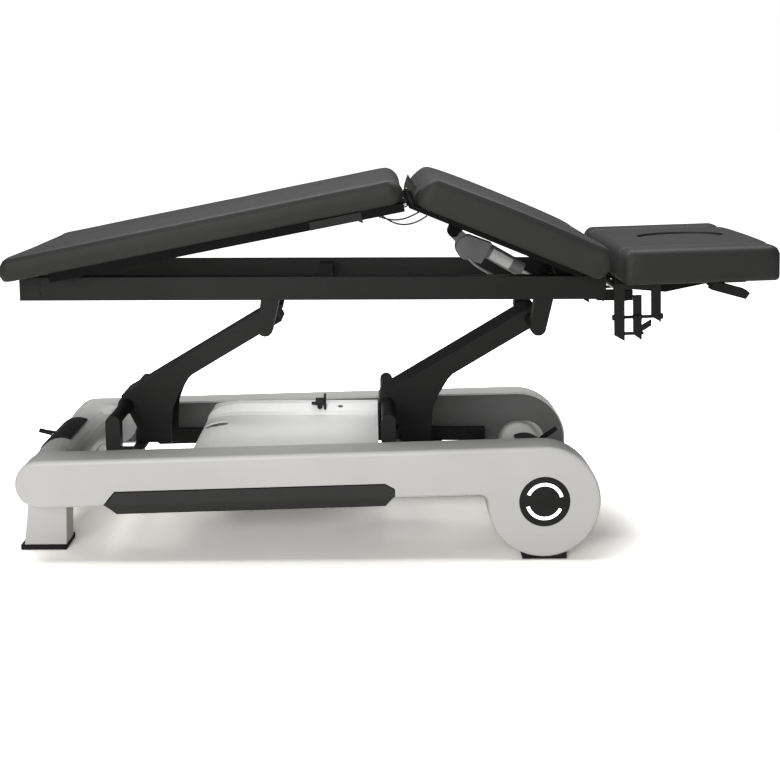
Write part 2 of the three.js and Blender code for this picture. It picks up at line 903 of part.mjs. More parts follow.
function addBed() {
  const beams = Object.values(sides).map((side) => {
    const y = spanY(side, bed.outerY - bed.beamWidth, bed.outerY);
    const tube = block([bed.left, bed.right], y, [bed.bottom, bed.top]);
    const inside = block(
      [bed.left + bed.wall, bed.right + overrun],
      [y[0] + bed.wall, y[1] - bed.wall],
      [bed.bottom + bed.wall, bed.top - bed.wall],
    );
    return carve(tube, inside);
  });
  const innerY = bed.outerY - bed.beamWidth + bed.wall / 2;
  const tie = (x0, x1, z0, z1) => block([x0, x1], [-innerY, innerY], [z0, z1]);
  const clevisX = backDrive.frameX + backDrive.eyeRadius + backDrive.eyeRoom;
  const ties = [
    tie(bed.left, bed.left + bed.tieDepth, bed.bottom, bed.tieTop),
    tie(bed.tieX, bed.tieX + bed.tieDepth, bed.bottom, bed.tieTop),
    tie(clevisX, backDrive.frameX + bed.tieDepth, bed.bottom, bed.clevisTop),
    tie(bed.right - bed.tieDepth, bed.right, bed.bottom, bed.headTieTop),
  ];
  const clevis = Object.values(sides).flatMap((side) => {
    const y = spanY(side, backDrive.rodRadius + seat, backDrive.rodRadius + seat + bed.wall);
    const plateX = [backDrive.frameX, backDrive.frameX + bed.tieDepth];
    return [
      block(plateX, y, [bed.bottom, backDrive.frameZ + backDrive.eyeRadius]),
      rodAlongY(backDrive.eyeRadius, y, backDrive.frameX, backDrive.frameZ),
    ];
  });
  const clevisHalf = backDrive.rodRadius + seat + bed.wall / 2;
  const pinY = [-clevisHalf, clevisHalf];
  const pin = rodAlongY(backDrive.pinRadius, pinY, backDrive.frameX, backDrive.frameZ, 16);
  const rails = Object.values(sides).map((side) => block(
    [bed.right - bed.tieDepth / 2, headRail.right],
    spanY(side, headRail.innerY, headRail.outerY),
    [headRail.bottom, headRail.top],
  ));
  const shaft = rodAlongY(middle.shaftRadius, [-innerY, innerY], middle.hingeX, middle.hingeZ);
  const bolts = bed.boltPlaces.map(([x, z]) => rodAlongY(
    bed.boltRadius,
    [-bed.outerY - bed.boltHead, -bed.outerY + bed.wall / 2],
    x,
    z,
    10,
  ));
  add('bed_frame', fuse(...beams, ...ties, ...clevis, pin, ...rails, shaft, ...bolts), 'steel');
  const railY = headRail.innerY - seat;
  add('head_hinge_shaft', rodAlongY(head.shaftRadius, [-railY, railY], head.hingeX, head.hingeZ), 'zinc');
}

// A pad: rounded plan, drawn-in sides, rolled edges and a crown
function padRings(plan, thick) {
  const rings = [];
  const ring = (level, inset) => rings.push({ outline: plan(inset), level });
  [0, 45, 90].forEach((angle) => {
    const inset = cushion.bottomRoll * (1 - Math.sin(radians(angle)));
    ring(cushion.bottomRoll * (1 - Math.cos(radians(angle))), inset + cushion.pull);
  });
  ring(thick * cushion.bulgeShare, 0);
  [0, 30, 60, 90].forEach((angle) => {
    const inset = cushion.topRoll * (1 - Math.cos(radians(angle)));
    ring(thick - cushion.topRoll * (1 - Math.sin(radians(angle))), inset);
  });
  [1, 2, 3].forEach((step) => {
    const share = step / 3;
    const rise = cushion.crown * (1 - (1 - share) ** 2);
    ring(thick + rise, cushion.topRoll + cushion.crownRun * share);
  });
  return rings;
}

// Plan of a pad with round corners, its sides pulled in a little between them
function roundedPlan([x0, x1], halfWidth, radius) {
  return (inset) => {
    const corner = Math.max(radius - inset, radius / 3);
    const [left, right, half] = [x0 + inset, x1 - inset, halfWidth - inset];
    const middleX = (left + right) / 2;
    return [
      ...arc([right - corner, half - corner], corner, 0, 90, 5),
      [middleX, half - cushion.pull],
      ...arc([left + corner, half - corner], corner, 90, 180, 5),
      [left + cushion.pull, 0],
      ...arc([left + corner, -half + corner], corner, 180, 270, 5),
      [middleX, -half + cushion.pull],
      ...arc([right - corner, -half + corner], corner, 270, 360, 5),
      [right - cushion.pull, 0],
    ];
  };
}

// A group that lies flat about a hinge line and is then raised at its +X end
function swingGroup(x, z, rise, parent = model) {
  const group = new THREE.Group();
  group.position.set(x, 0, z);
  group.rotation.y = -radians(rise);
  parent.add(group);
  return group;
}

const padUnder = boardUnder + boardThick;
const middleUnder = padUnder - middle.boardThick;
const apexPlace = [-middle.apexReach, padUnder - apex.padGap];
const apexTurned = turned(apexPlace, -middle.raiseAngle);
const apexWorld = [middle.hingeX + apexTurned[0], middle.hingeZ + apexTurned[1]];

// Hinge barrels on the apex line, joined to a board by straps
function knuckles([x, z], boardX, starts) {
  return starts.flatMap((start) => {
    const y = [start, start + apex.knuckle];
    const strapX = [Math.min(x, boardX), Math.max(x, boardX)];
    const strap = block(strapX, y, [z - apex.strap / 2, z + apex.strap]);
    return [rodAlongY(apex.barrelRadius, y, x, z, 16), strap];
  });
}

const knuckleStarts = (first) => [first, -first - apex.knuckle];
const middleKnuckles = knuckleStarts(apex.knuckleStart);
const legKnuckles = knuckleStarts(apex.knuckleStart + apex.knuckle + runningGap);

// Room in the edge of one board for the barrels of the other
function knuckleNotches([x, z], starts) {
  return starts.map((start) => {
    const y = [start - runningGap, start + apex.knuckle + runningGap];
    return rodAlongY(apex.barrelRadius + runningGap, y, x, z, 16);
  });
}

function apexBore([x, z]) {
  return rodAlongY(apex.pinRadius + seat, [-boardHalfWidth, boardHalfWidth], x, z, 16);
}

function addMiddleSection() {
  const group = swingGroup(middle.hingeX, middle.hingeZ, -middle.raiseAngle);
  const boardX = [-middleBoardLeft, -middle.boardRight];
  const sheet = block(boardX, [-boardHalfWidth, boardHalfWidth], [middleUnder, padUnder - seat]);
  const board = carve(sheet, ...knuckleNotches(apexPlace, legKnuckles));
  const lugs = Object.values(sides).flatMap((side) => {
    const y = spanY(side, middle.lugInnerY, middle.lugOuterY);
    const outline = [
      [-middle.lugReach, middleUnder + middle.boardThick / 2],
      [-middle.lugRadius, -middle.lugRadius / 2],
      [middle.lugRadius, 0],
      [0, middleUnder + middle.boardThick / 2],
    ];
    return [plate(outline, y), rodAlongY(middle.lugRadius, y, 0, 0)];
  });
  const boreHalf = middle.lugOuterY + overrun;
  const bore = rodAlongY(middle.shaftRadius + runningGap, [-boreHalf, boreHalf], 0, 0);
  const [x, z] = [backDrive.knuckleX, backDrive.knuckleZ];
  const cheekY = [backDrive.knuckleHalf + runningGap, backDrive.knuckleHalf + runningGap + bed.wall * 2];
  const cheeks = Object.values(sides).flatMap((side) => {
    const y = spanY(side, ...cheekY);
    const wide = backDrive.knuckleRadius;
    const top = middleUnder + seat;
    const outline = [[x - wide, z], [x + wide, z], [x + wide * 2, top], [x - wide, top]];
    return [plate(outline, y), rodAlongY(wide, y, x, z)];
  });
  const pin = rodAlongY(backDrive.pinRadius, [-cheekY[1], cheekY[1]], x, z, 16);
  const barrels = knuckles(apexPlace, -middleBoardLeft + boardThick, middleKnuckles);
  const whole = carve(fuse(board, ...lugs, ...cheeks, pin, ...barrels), bore, apexBore(apexPlace));
  add('middle_board', whole, 'steel', group);
  const planX = [middle.padSetback - middle.apexReach, middle.cushionRight];
  const plan = roundedPlan(planX, cushionHalfWidth, cushion.corner);
  const place = (a, b, level) => new THREE.Vector3(a, b, padUnder + level);
  add('middle_cushion', loft(padRings(plan, middle.cushionThick), place), 'vinyl', group);
}

function addLegSection() {
  const group = swingGroup(...apexWorld, leg.fallAngle);
  const under = apex.padGap - boardThick;
  const boardX = [-leg.glideReach, -leg.boardRight];
  const sheet = block(boardX, [-boardHalfWidth, boardHalfWidth], [under, apex.padGap - seat]);
  const board = carve(sheet, ...knuckleNotches([0, 0], middleKnuckles));
  const glides = Object.values(sides).map((side) => rodAlongY(
    leg.glideRadius,
    spanY(side, bed.outerY - bed.beamWidth, bed.outerY),
    -leg.glideReach,
    under + leg.glideRadius,
  ));
  const barrels = knuckles([0, 0], -leg.boardRight - boardThick, legKnuckles);
  add('leg_board', carve(fuse(board, ...glides, ...barrels), apexBore([0, 0])), 'steel', group);
  const plan = roundedPlan([-leg.cushionLeft, leg.cushionRight], cushionHalfWidth, cushion.corner);
  const place = (a, b, level) => {
    const share = (a + leg.cushionLeft) / (leg.cushionLeft + leg.cushionRight);
    const height = level * (1 - (1 - share) * leg.footThinner / leg.cushionThick);
    return new THREE.Vector3(a, b, apex.padGap + height);
  };
  add('leg_cushion', loft(padRings(plan, leg.cushionThick), place), 'vinyl', group);
  const pinHalf = apex.knuckleStart + apex.knuckle * 2 + boardThick / 2;
  add('apex_pin', rodAlongY(apex.pinRadius, [-pinHalf, pinHalf], 0, 0, 12), 'zinc', group);
  const plateY = [-boardHalfWidth - seat - legPlate.thick, -boardHalfWidth - seat];
  const outline = [
    [-legPlate.left, under],
    [-legPlate.right, under],
    [-legPlate.right + legPlate.height / 2, under - legPlate.height / 3],
    [-legPlate.right + legPlate.height / 2, apex.padGap - seat],
    [-legPlate.left, apex.padGap - seat],
  ];
  add('leg_side_plate', plate(outline, plateY), 'rubber', group);
}

// Short vinyl lug that stands over the gap between the two pads at the near edge
function addFlap() {
  const [x, z] = apexWorld;
  const outline = flapSide.map(([dx, dz]) => [x + dx, z + dz]);
  add('apex_flap', plate(outline, [flap.near, flap.far]), 'vinyl');
}

// Plan of the head pad: three lobes, with notches between their ends
function headPlan(inset) {
  const { left, sideRight, centreRight, halfWidth, creaseY, notch, lobeCorner } = head;
  const corner = lobeCorner - inset / 2;
  const half = halfWidth - inset;
  const side = sideRight - inset;
  const x0 = left + inset;
  const outer = [
    ...arc([side - corner, -half + corner], corner, -90, 0, 4),
    [side, -creaseY - lobeCorner],
    [side - notch / 4, -creaseY - lobeCorner / 3],
    [side - notch, -creaseY],
  ];
  const centre = [
    [centreRight - inset - notch / 4, -creaseY + lobeCorner / 2],
    [centreRight - inset, -creaseY + lobeCorner * 2],
  ];
  const lower = [...arc([x0 + corner, -half + corner], corner, 180, 270, 3), ...outer, ...centre];
  return [...lower, ...lower.map(([x, y]) => [x, -y]).reverse()];
}

function headRings(thick) {
  const rings = [];
  const { bottomRoll, topRoll, pull, bulgeShare } = cushion;
  [0, 45, 90].forEach((angle) => rings.push({
    outline: headPlan(bottomRoll * (1 - Math.sin(radians(angle))) + pull),
    level: bottomRoll * (1 - Math.cos(radians(angle))),
  }));
  rings.push({ outline: headPlan(0), level: thick * bulgeShare });
  [0, 45, 90].forEach((angle) => rings.push({
    outline: headPlan(topRoll / 2 * (1 - Math.cos(radians(angle)))),
    level: thick - topRoll / 2 * (1 - Math.sin(radians(angle))),
  }));
  return rings;
}

function ellipse(centre, halfX, halfY) {
  const points = [];
  for (let i = 0; i < 36; i += 1) {
    const angle = 2 * Math.PI * i / 36;
    points.push([centre + halfX * Math.cos(angle), halfY * Math.sin(angle)]);
  }
  return points;
}

function addHeadSection() {
  const group = swingGroup(head.hingeX, head.hingeZ, head.tilt);
  const under = head.cushionUnder - seat;
  const outline = [
    [wedge.left, wedge.leftZ],
    [wedge.dip, wedge.dipZ],
    [wedge.ridge, wedge.ridgeZ],
    [wedge.right, wedge.ridgeZ],
    [wedge.right, under],
    [wedge.left, under],
  ];
  const board = plate(outline, [-head.boardHalfWidth, head.boardHalfWidth]);
  const lugs = Object.values(sides).flatMap((side) => {
    const y = spanY(side, head.lugInnerY, head.lugOuterY);
    const lugRadius = head.shaftRadius * 2;
    return [
      block([-head.shaftRadius, lugRadius], y, [0, under - seat]),
      rodAlongY(lugRadius, y, 0, 0),
    ];
  });
  const lugY = head.lugOuterY + overrun;
  const bore = rodAlongY(head.shaftRadius + runningGap, [-lugY, lugY], 0, 0);
  const pinY = [-head.boardHalfWidth - overrun, -head.boardHalfWidth + lever.pinDepth + seat];
  const pinBore = rodAlongY(lever.pinRadius + runningGap, pinY, lever.pivotX, lever.pivotZ, 16);
  const bossY = [-head.boardHalfWidth, -head.boardHalfWidth + lever.pinDepth + lever.bossRadius];
  const boss = rodAlongY(lever.bossRadius, bossY, lever.pivotX, lever.pivotZ, 16);
  add('head_board', carve(fuse(board, ...lugs, boss), bore, pinBore), 'steel', group);

  const place = (a, b, level) => new THREE.Vector3(a, b, head.cushionUnder + level);
  const body = loft(headRings(head.cushionThick), place);
  const topZ = head.cushionUnder + head.cushionThick;
  const grooves = Object.values(sides).map((side) => {
    const groove = new THREE.CylinderGeometry(head.creaseWidth, head.creaseWidth, head.centreRight * 3, 8);
    groove.rotateZ(Math.PI / 2).scale(1, 0.5, 1);
    return groove.translate(0, side * head.creaseY, topZ + head.creaseWidth - head.creaseDepth);
  });
  const { centre, halfLength, halfWidth, gap } = faceHole;
  const holeRing = (level) => ({ outline: ellipse(centre, halfLength, halfWidth), level });
  const hole = loft([holeRing(-overrun), holeRing(head.cushionThick + overrun)], place);
  add('head_cushion', carve(body, ...grooves, hole), 'vinyl', group);

  const plugRing = (level, inset) => ({
    outline: ellipse(centre, halfLength - gap - inset, halfWidth - gap - inset),
    level,
  });
  const plugTop = head.cushionThick - faceHole.plugDrop;
  const roll = cushion.bottomRoll;
  add('face_plug', loft([
    plugRing(0, roll / 3),
    plugRing(roll, 0),
    plugRing(plugTop - roll, 0),
    plugRing(plugTop - roll / 4, roll / 3),
    plugRing(plugTop + faceHole.plugDrop / 2, roll * 2),
    plugRing(plugTop + faceHole.plugDrop, roll * 4),
  ], place), 'vinyl', group);

  const half = lever.thick / 2;
  const bar = [
    [-half, -half],
    [lever.reach - half / 2, -half],
    [lever.reach, half / 2],
    [lever.reach - half, half],
    [-half, half],
  ];
  const barPlate = plate(
    bar.map((point) => turned(point, lever.leanAngle)).map(([x, z]) => [x + lever.pivotX, z + lever.pivotZ]),
    [-lever.nearY, -lever.farY],
  );
  const ceiling = block(
    [lever.pivotX - lever.thick, lever.pivotX + lever.thick],
    [-lever.nearY - overrun, -lever.farY + overrun],
    [under - seat, under + lever.thick],
  );
  const pinEnd = -head.boardHalfWidth + lever.pinDepth;
  const pin = rodAlongY(lever.pinRadius, [-lever.nearY + half, pinEnd], lever.pivotX, lever.pivotZ, 16);
  add('head_release_lever', fuse(carve(barPlate, ceiling), pin), 'rubber', group);
  addCarriers(group);
}

// Flat bars and rods that carry an armrest on each side
function addCarriers(group) {
  Object.entries(sides).forEach(([name, side]) => {
    const y = spanY(side, carrier.innerY + seat, carrier.innerY + seat + carrier.thick);
    const midY = (y[0] + y[1]) / 2;
    const shorter = side > 0 ? carrier.farShorter : 0;
    const bar = ([x0, x1, low], top, cut) => plate([[x0, low + cut], [x1, low], [x1, top], [x0, top]], y);
    const lowRodZ = carrier.lowRodZ + shorter;
    const cut = carrier.rail;
    const raised = ([x0, x1, low]) => [x0, x1, low + shorter];
    const [outer, link, inner] = [raised(carrierBars.outer), raised(carrierBars.link), carrierBars.inner];
    const rail = block([outer[0], inner[1]], y, [carrier.top - carrier.rail, carrier.top]);
    const rod = (x0, x1, z) => rodAlongX(carrier.rodRadius, [x0, x1], midY, z, 12);
    const rodHead = (x) => rodAlongX(carrier.headRadius, x, midY, carrier.rodZ, 12);
    const hanger = fuse(
      rail,
      bar(outer, carrier.top, cut),
      bar(inner, carrier.top, cut),
      rod(outer[0], inner[1], carrier.rodZ),
      rodHead([outer[0] - carrier.headThick, outer[0] + seat]),
      rodHead([inner[1] - seat, inner[1] + carrier.headThick]),
    );
    add(`${name}_arm_hanger`, hanger, 'rubber', group);
    const gap = carrier.linkGap;
    const brace = plate([
      [link[1] - carrier.thick, lowRodZ],
      [inner[0] - gap, inner[2] - carrier.headRadius],
      [inner[0] - gap, inner[2] + carrier.headRadius],
      [link[1] - carrier.thick, lowRodZ + carrier.rail],
    ], y);
    const boss = rodAlongX(carrier.bossRadius, link.slice(0, 2), midY, carrier.rodZ, 16);
    const foot = rod(outer[1] + gap, link[1] + carrier.headThick, lowRodZ);
    const bore = rodAlongX(carrier.rodRadius + runningGap, [outer[0], inner[1]], midY, carrier.rodZ, 12);
    const swing = fuse(bar(link, carrier.linkTop, cut), brace, boss, foot);
    add(`${name}_arm_link`, carve(swing, bore), 'rubber', group);
  });
}

function addBackDrive() {
  const knuckle = turned([backDrive.knuckleX, backDrive.knuckleZ], -middle.raiseAngle);
  const [kx, kz] = [middle.hingeX + knuckle[0], middle.hingeZ + knuckle[1]];
  const run = [backDrive.frameX - kx, backDrive.frameZ - kz];
  const reach = Math.hypot(...run);
  const group = swingGroup(kx, kz, THREE.MathUtils.radToDeg(Math.atan2(run[1], run[0])));
  const d = backDrive;
  const wide = [-d.halfWidth, d.halfWidth];
  const eyeY = [-d.knuckleHalf, d.knuckleHalf];
  const gear = rodAlongY(d.gearRadius, wide, d.gearX, -d.gearDrop, 32);
  const neck = plate([
    [0, -d.knuckleRadius],
    [d.gearX, -d.gearDrop - d.knuckleRadius],
    [d.gearX, d.knuckleRadius / 2],
    [0, d.knuckleRadius],
  ], eyeY);
  const body = plate([
    [d.gearX, -d.gearDrop - d.gearRadius],
    [d.blockEnd, -d.blockDrop],
    [d.blockEnd, d.blockRise],
    [d.gearX, d.gearRadius - d.gearDrop],
  ], wide);
  const tube = rodAlongX(d.tubeRadius, [d.blockEnd - seat, d.tubeEnd], 0, 0);
  const rodBore = rodAlongX(d.rodRadius + seat, [d.tubeStart, d.tubeEnd + overrun], 0, 0);
  const boreHalf = d.knuckleHalf + overrun;
  const pinBore = rodAlongY(d.pinRadius + runningGap, [-boreHalf, boreHalf], 0, 0, 16);
  const eye = rodAlongY(d.knuckleRadius, eyeY, 0, 0);
  add('back_drive_motor', carve(fuse(eye, neck, gear, body, tube), rodBore, pinBore), 'drive', group);
  const rod = rodAlongX(d.rodRadius, [d.rodStart, reach - d.eyeBore], 0, 0);
  const end = rodAlongY(d.eyeRadius, [-d.rodRadius, d.rodRadius], reach, 0);
  const endBore = rodAlongY(d.eyeBore, [-d.rodRadius - overrun, d.rodRadius + overrun], reach, 0);
  add('back_drive_rod', carve(fuse(rod, end), endBore), 'zinc', group);
}

// The drive that pushes the lever of the head-end arm
function addLiftDrive() {
  const lever = turned([arm.leverReach, 0], arm.leverAngle);
  const target = [pivots.head + lever[0], stand.pivotZ + lever[1]];
  const run = [target[0] - liftDrive.rearX, target[1] - liftDrive.z];
  const reach = Math.hypot(...run);
  const rise = THREE.MathUtils.radToDeg(Math.atan2(run[1], run[0]));
  const group = swingGroup(liftDrive.rearX, liftDrive.z, rise);
  const d = liftDrive;
  const eye = rodAlongY(d.bodyRadius / 2, [-d.bodyRadius, d.bodyRadius], 0, 0);
  const body = block([0, d.motorLength], [-d.bodyRadius, d.bodyRadius], [-d.bodyRadius / 2, d.bodyRadius]);
  const motor = rodAlongX(d.bodyRadius, [d.motorLength / 2, d.motorLength * 2], 0, d.motorRise);
  const tube = rodAlongX(d.tubeRadius, [d.motorLength - seat, d.tubeEnd], 0, 0);
  const bore = rodAlongX(d.rodRadius + seat, [d.motorLength + overrun, d.tubeEnd + overrun], 0, 0);
  const pinBore = rodAlongY(d.pinRadius + runningGap, [-d.bodyRadius * 2, d.bodyRadius * 2], 0, 0, 16);
  add('lift_drive_motor', carve(fuse(eye, body, motor, tube), bore, pinBore), 'drive', group);
  const rod = rodAlongX(d.rodRadius, [d.rodStart, reach - arm.bossRadius], 0, 0);
  const stadium = (radius, y) => plate([
    ...arc([reach, 0], radius, 180, 360, 12),
    ...arc([reach, d.slotRise], radius, 0, 180, 12),
  ], y);
  const end = stadium(d.slotRadius + d.slotWall, [-d.eyeHalf, d.eyeHalf]);
  const endBore = stadium(d.slotRadius, [-d.eyeHalf - overrun, d.eyeHalf + overrun]);
  add('lift_drive_rod', carve(fuse(rod, end), endBore), 'zinc', group);
}

// Outline of the cover's section across the base at a place along it
function humpSection(x, inset, bottom) {
  const half = base.innerY - seat - inset;
  const beyond = Math.max(0, hump.left + inset + hump.shoulder - x) / hump.shoulder;
  const fade = Math.sqrt(Math.max(0, 1 - beyond ** 2));
  const line = humpLine;
  const top = [
    [half, line.farZ],
    [line.backY, line.backZ],
    [line.ridgeY + inset, line.ridgeZ],
    [line.stepY + inset, line.stepZ],
    [line.creaseY + inset, line.creaseZ],
    [line.flatY, line.flatZ],
    [-line.flatY, line.flatZ],
    [-half, line.nearZ],
  ];
  const faded = top.map(([y, z]) => [y, hump.shoulderZ + (z - hump.shoulderZ) * fade - inset]);
  return [[-half, bottom], [half, bottom], ...faded];
}

function addHump() {
  const alongX = (a, b, level) => new THREE.Vector3(level, a, b);
  const roundShares = [1, 0.97, 0.88, 0.72, 0.5, 0.26, 0];
  const stations = (inset) => roundShares.map((share) => hump.left + inset + hump.shoulder * (1 - share));
  const rings = (inset, bottom, end) => [...stations(inset), end].map((x) => ({
    outline: humpSection(x, inset, bottom),
    level: x,
  }));
  const skin = loft(rings(0, hump.skirt, hump.right), alongX);
  const inside = loft(rings(hump.wall, hump.skirt - overrun, hump.right + overrun), alongX);
  const slotPlan = [
    ...arc([humpSlot.left, humpSlot.y], humpSlot.halfWidth, 90, 270, 10),
    ...arc([humpSlot.right, humpSlot.y], humpSlot.halfWidth, 270, 450, 10),
  ];
  const slot = loft([hump.shoulderZ, humpLine.ridgeZ].map((level) => ({ outline: slotPlan, level })), alongZ);
  const holeOutline = ellipse(humpHole.x, humpHole.halfLength, humpHole.halfHeight);
  const holeY = [humpLine.flatY, humpLine.ridgeY + hump.wall * 3];
  const hole = plate(holeOutline.map(([x, z]) => [x, z + humpHole.z]), holeY);
  const postX = (key.left + key.right) / 2;
  const postY = [humpLine.flatY, key.postEnd + overrun];
  const postBore = rodAlongY(key.postRadius + seat, postY, postX, key.postZ, 16);
  add('centre_cover', carve(skin, inside, slot, hole, postBore), 'shell');
  addKey(postX);
}

// The lock lies across the step of the cover on a post, and the key's bow turns about the lock's axis
function addKey(postX) {
  const stemStart = key.right - key.stemDepth;
  const stem = rodAlongX(key.stemRadius + runningGap, [stemStart, key.right + overrun], key.y, key.z, 16);
  const lock = fuse(
    rodAlongX(key.radius, [key.left, key.right], key.y, key.z, 20),
    rodAlongX(key.stubRadius, [key.left - key.stubReach, key.left + seat], key.y, key.z - key.stubRadius, 12),
    rodAlongY(key.postRadius, [key.y - key.postRadius / 2, key.postEnd], postX, key.postZ, 16),
  );
  add('key_switch', carve(lock, stem), 'rubber');
  const bowLeft = key.right + seat * 2;
  const bow = block(
    [bowLeft, bowLeft + key.bowThick],
    [key.y - key.bowHalfWidth, key.y + key.bowHalfWidth],
    [key.z - key.bowHalfHeight, key.z + key.bowHalfHeight],
  );
  const shank = rodAlongX(key.stemRadius, [stemStart + seat, bowLeft + seat], key.y, key.z, 16);
  add('key', fuse(bow, shank), 'rubber');
}

function addElectrics() {
  const floor = chassis.bottom + seat * 2;
  const shelf = block([box.left, box.right], [box.nearY, box.farY], [floor, floor + box.height]);
  const footX = [box.left - chassis.tieWidth * 2, box.left + overrun];
  const foot = block(footX, [box.nearY, box.farY], [floor, floor + boardThick]);
  add('control_box', fuse(shelf, foot), 'panel');
}

// Leads that are clipped under the two boards and loop across the apex hinge
function tube(points, radius, sidesCount, steps) {
  const curve = new THREE.CatmullRomCurve3(points.map((point) => new THREE.Vector3(...point)));
  const ring = arc([0, 0], radius, 0, 360, sidesCount).slice(0, -1);
  const section = new THREE.Shape(ring.map(([x, y]) => new THREE.Vector2(x, y)));
  return new THREE.ExtrudeGeometry(section, { steps, extrudePath: curve, bevelEnabled: false });
}

function addLeads() {
  add('apex_lead_upper', tube(leadPoints.upper, lead.radius, leadSides, leadSteps), 'rubber');
  add('apex_lead_lower', tube(leadPoints.lower, lead.radius, leadSides, leadSteps), 'rubber');
  add('motor_lead', tube(leadPoints.motor, lead.motorRadius, leadSides, leadSteps), 'drive');
}

addSideCovers();
addCrossbars();
addPedals();
addFeet();
addChassis();
addStands();
addArms();
addUpperBrackets();
addBed();
addMiddleSection();
addLegSection();
addFlap();
addHeadSection();
addBackDrive();
addLiftDrive();
addHump();
addElectrics();
addLeads();

// The origin lies on the floor under the middle of the whole length
const headMid = head.cushionUnder + head.cushionThick * cushion.bulgeShare;
const headEnd = turned([head.centreRight, headMid], head.tilt);
const footMid = apex.padGap
  + (leg.cushionThick - cushion.topRoll) * (1 - leg.footThinner / leg.cushionThick);
const footEnd = turned([-leg.cushionLeft, footMid], leg.fallAngle);
model.position.x = -(head.hingeX + headEnd[0] + apexWorld[0] + footEnd[0]) / 2;

export default model;
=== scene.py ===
# %% [markdown]
# An electric massage table, dressed in Blender
#
# The real table is a moulded base, a pair of parallel lifting arms, a welded bed frame and three padded
# sections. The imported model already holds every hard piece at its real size, so this lesson keeps those
# pieces and gives them finishes. The upholstery is made new here, because foam under stretched vinyl has
# soft rolls and small creases that a plain solid lacks.

import bmesh
import bpy
import math
from mathutils import Matrix, Vector, noise


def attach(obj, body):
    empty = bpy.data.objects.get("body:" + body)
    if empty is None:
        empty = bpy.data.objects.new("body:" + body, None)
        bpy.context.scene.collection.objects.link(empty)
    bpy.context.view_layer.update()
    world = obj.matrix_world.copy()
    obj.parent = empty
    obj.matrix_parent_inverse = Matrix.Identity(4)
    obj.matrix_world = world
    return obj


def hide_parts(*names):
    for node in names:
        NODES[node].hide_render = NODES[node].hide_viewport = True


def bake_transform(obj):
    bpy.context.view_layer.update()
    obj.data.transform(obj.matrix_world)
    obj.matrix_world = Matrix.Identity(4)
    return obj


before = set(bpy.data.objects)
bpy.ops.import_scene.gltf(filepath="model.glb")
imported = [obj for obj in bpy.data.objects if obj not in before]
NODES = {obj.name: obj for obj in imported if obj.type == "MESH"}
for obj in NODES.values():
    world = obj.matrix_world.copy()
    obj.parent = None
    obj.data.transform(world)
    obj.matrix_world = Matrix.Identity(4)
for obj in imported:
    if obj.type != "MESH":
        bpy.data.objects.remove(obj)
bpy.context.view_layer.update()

# %% [markdown]
# The camera stands in front of the table at about chest height and looks a little down. Its eye point and
# focal length were fitted to the ends of the two frame beams and to the two discs of the base. The optical
# axis lies above the middle of the picture, and a lens shift does that without tilting the upright edges.

# %% Camera
MM = 0.001
ORIGIN_X = -3.6805 * MM
PICTURE = (780, 781)
FOCAL_PX = 1130
AXIS_ROW = 242.75
EYE = Vector((-0.0505 + ORIGIN_X, -3.165, 1.191))
YAW, PITCH = math.radians(1.0), math.radians(7.0)
SENSOR = 36.0
FARTHEST = 60

camera_data = bpy.data.cameras.new("camera")
camera_data.sensor_width = SENSOR
camera_data.lens = SENSOR * FOCAL_PX / PICTURE[1]
camera_data.shift_y = (AXIS_ROW - PICTURE[1] / 2) / PICTURE[1]
camera_data.clip_end = FARTHEST
camera = bpy.data.objects.new("camera", camera_data)
bpy.context.scene.collection.objects.link(camera)
look = Vector((math.sin(YAW) * math.cos(PITCH), math.cos(YAW) * math.cos(PITCH), -math.sin(PITCH)))
camera.rotation_mode = "QUATERNION"
camera.rotation_quaternion = look.to_track_quat("-Z", "Y")
camera.location = EYE
bpy.context.scene.camera = camera
print("lens", round(camera_data.lens, 2), "shift", round(camera_data.shift_y, 4))

# %% [markdown]
# A finish is a Principled shader with its plain numbers on the sockets and its small changes in nodes:
# a slow change of tone, a patchy roughness where a thing is touched or scuffed, and a fine grain in the
# bump. Each change has its own noise, given as a scale and a strength. The helpers below make that
# skeleton, and each finish then only states its numbers.

# %% A helper for finishes
COAT_ROUGH = 0.15
EVEN = (1, 1, 1)
NOISE_DETAIL = 4.0
RAMP_ENDS = (0.35, 0.65)


def finish(name, rgb, rough, metal=0.0, coat=0.0, specular=0.5):
    material = bpy.data.materials.new(name)
    material.use_nodes = True
    shader = material.node_tree.nodes["Principled BSDF"]
    shader.inputs["Base Color"].default_value = (*rgb, 1)
    shader.inputs["Roughness"].default_value = rough
    shader.inputs["Metallic"].default_value = metal
    shader.inputs["Coat Weight"].default_value = coat
    shader.inputs["Coat Roughness"].default_value = COAT_ROUGH
    shader.inputs["Specular IOR Level"].default_value = specular
    return material, shader


def node(owner, kind, **settings):
    """A new node in a material or world, with its sockets or its own settings filled in by name."""
    made = owner.node_tree.nodes.new(kind)
    for key, value in settings.items():
        if key in made.inputs:
            made.inputs[key].default_value = value
        else:
            setattr(made, key, value)
    return made


def link(owner, out, into):
    owner.node_tree.links.new(out, into)


def grain(material, scale, stretch=EVEN, detail=NOISE_DETAIL):
    """A noise in object space, so that it keeps its real size on every piece."""
    place = node(material, "ShaderNodeTexCoord")
    mapping = node(material, "ShaderNodeMapping", Scale=stretch)
    texture = node(material, "ShaderNodeTexNoise", Scale=scale, Detail=detail)
    link(material, place.outputs["Object"], mapping.inputs["Vector"])
    link(material, mapping.outputs["Vector"], texture.inputs["Vector"])
    return texture.outputs["Fac"]


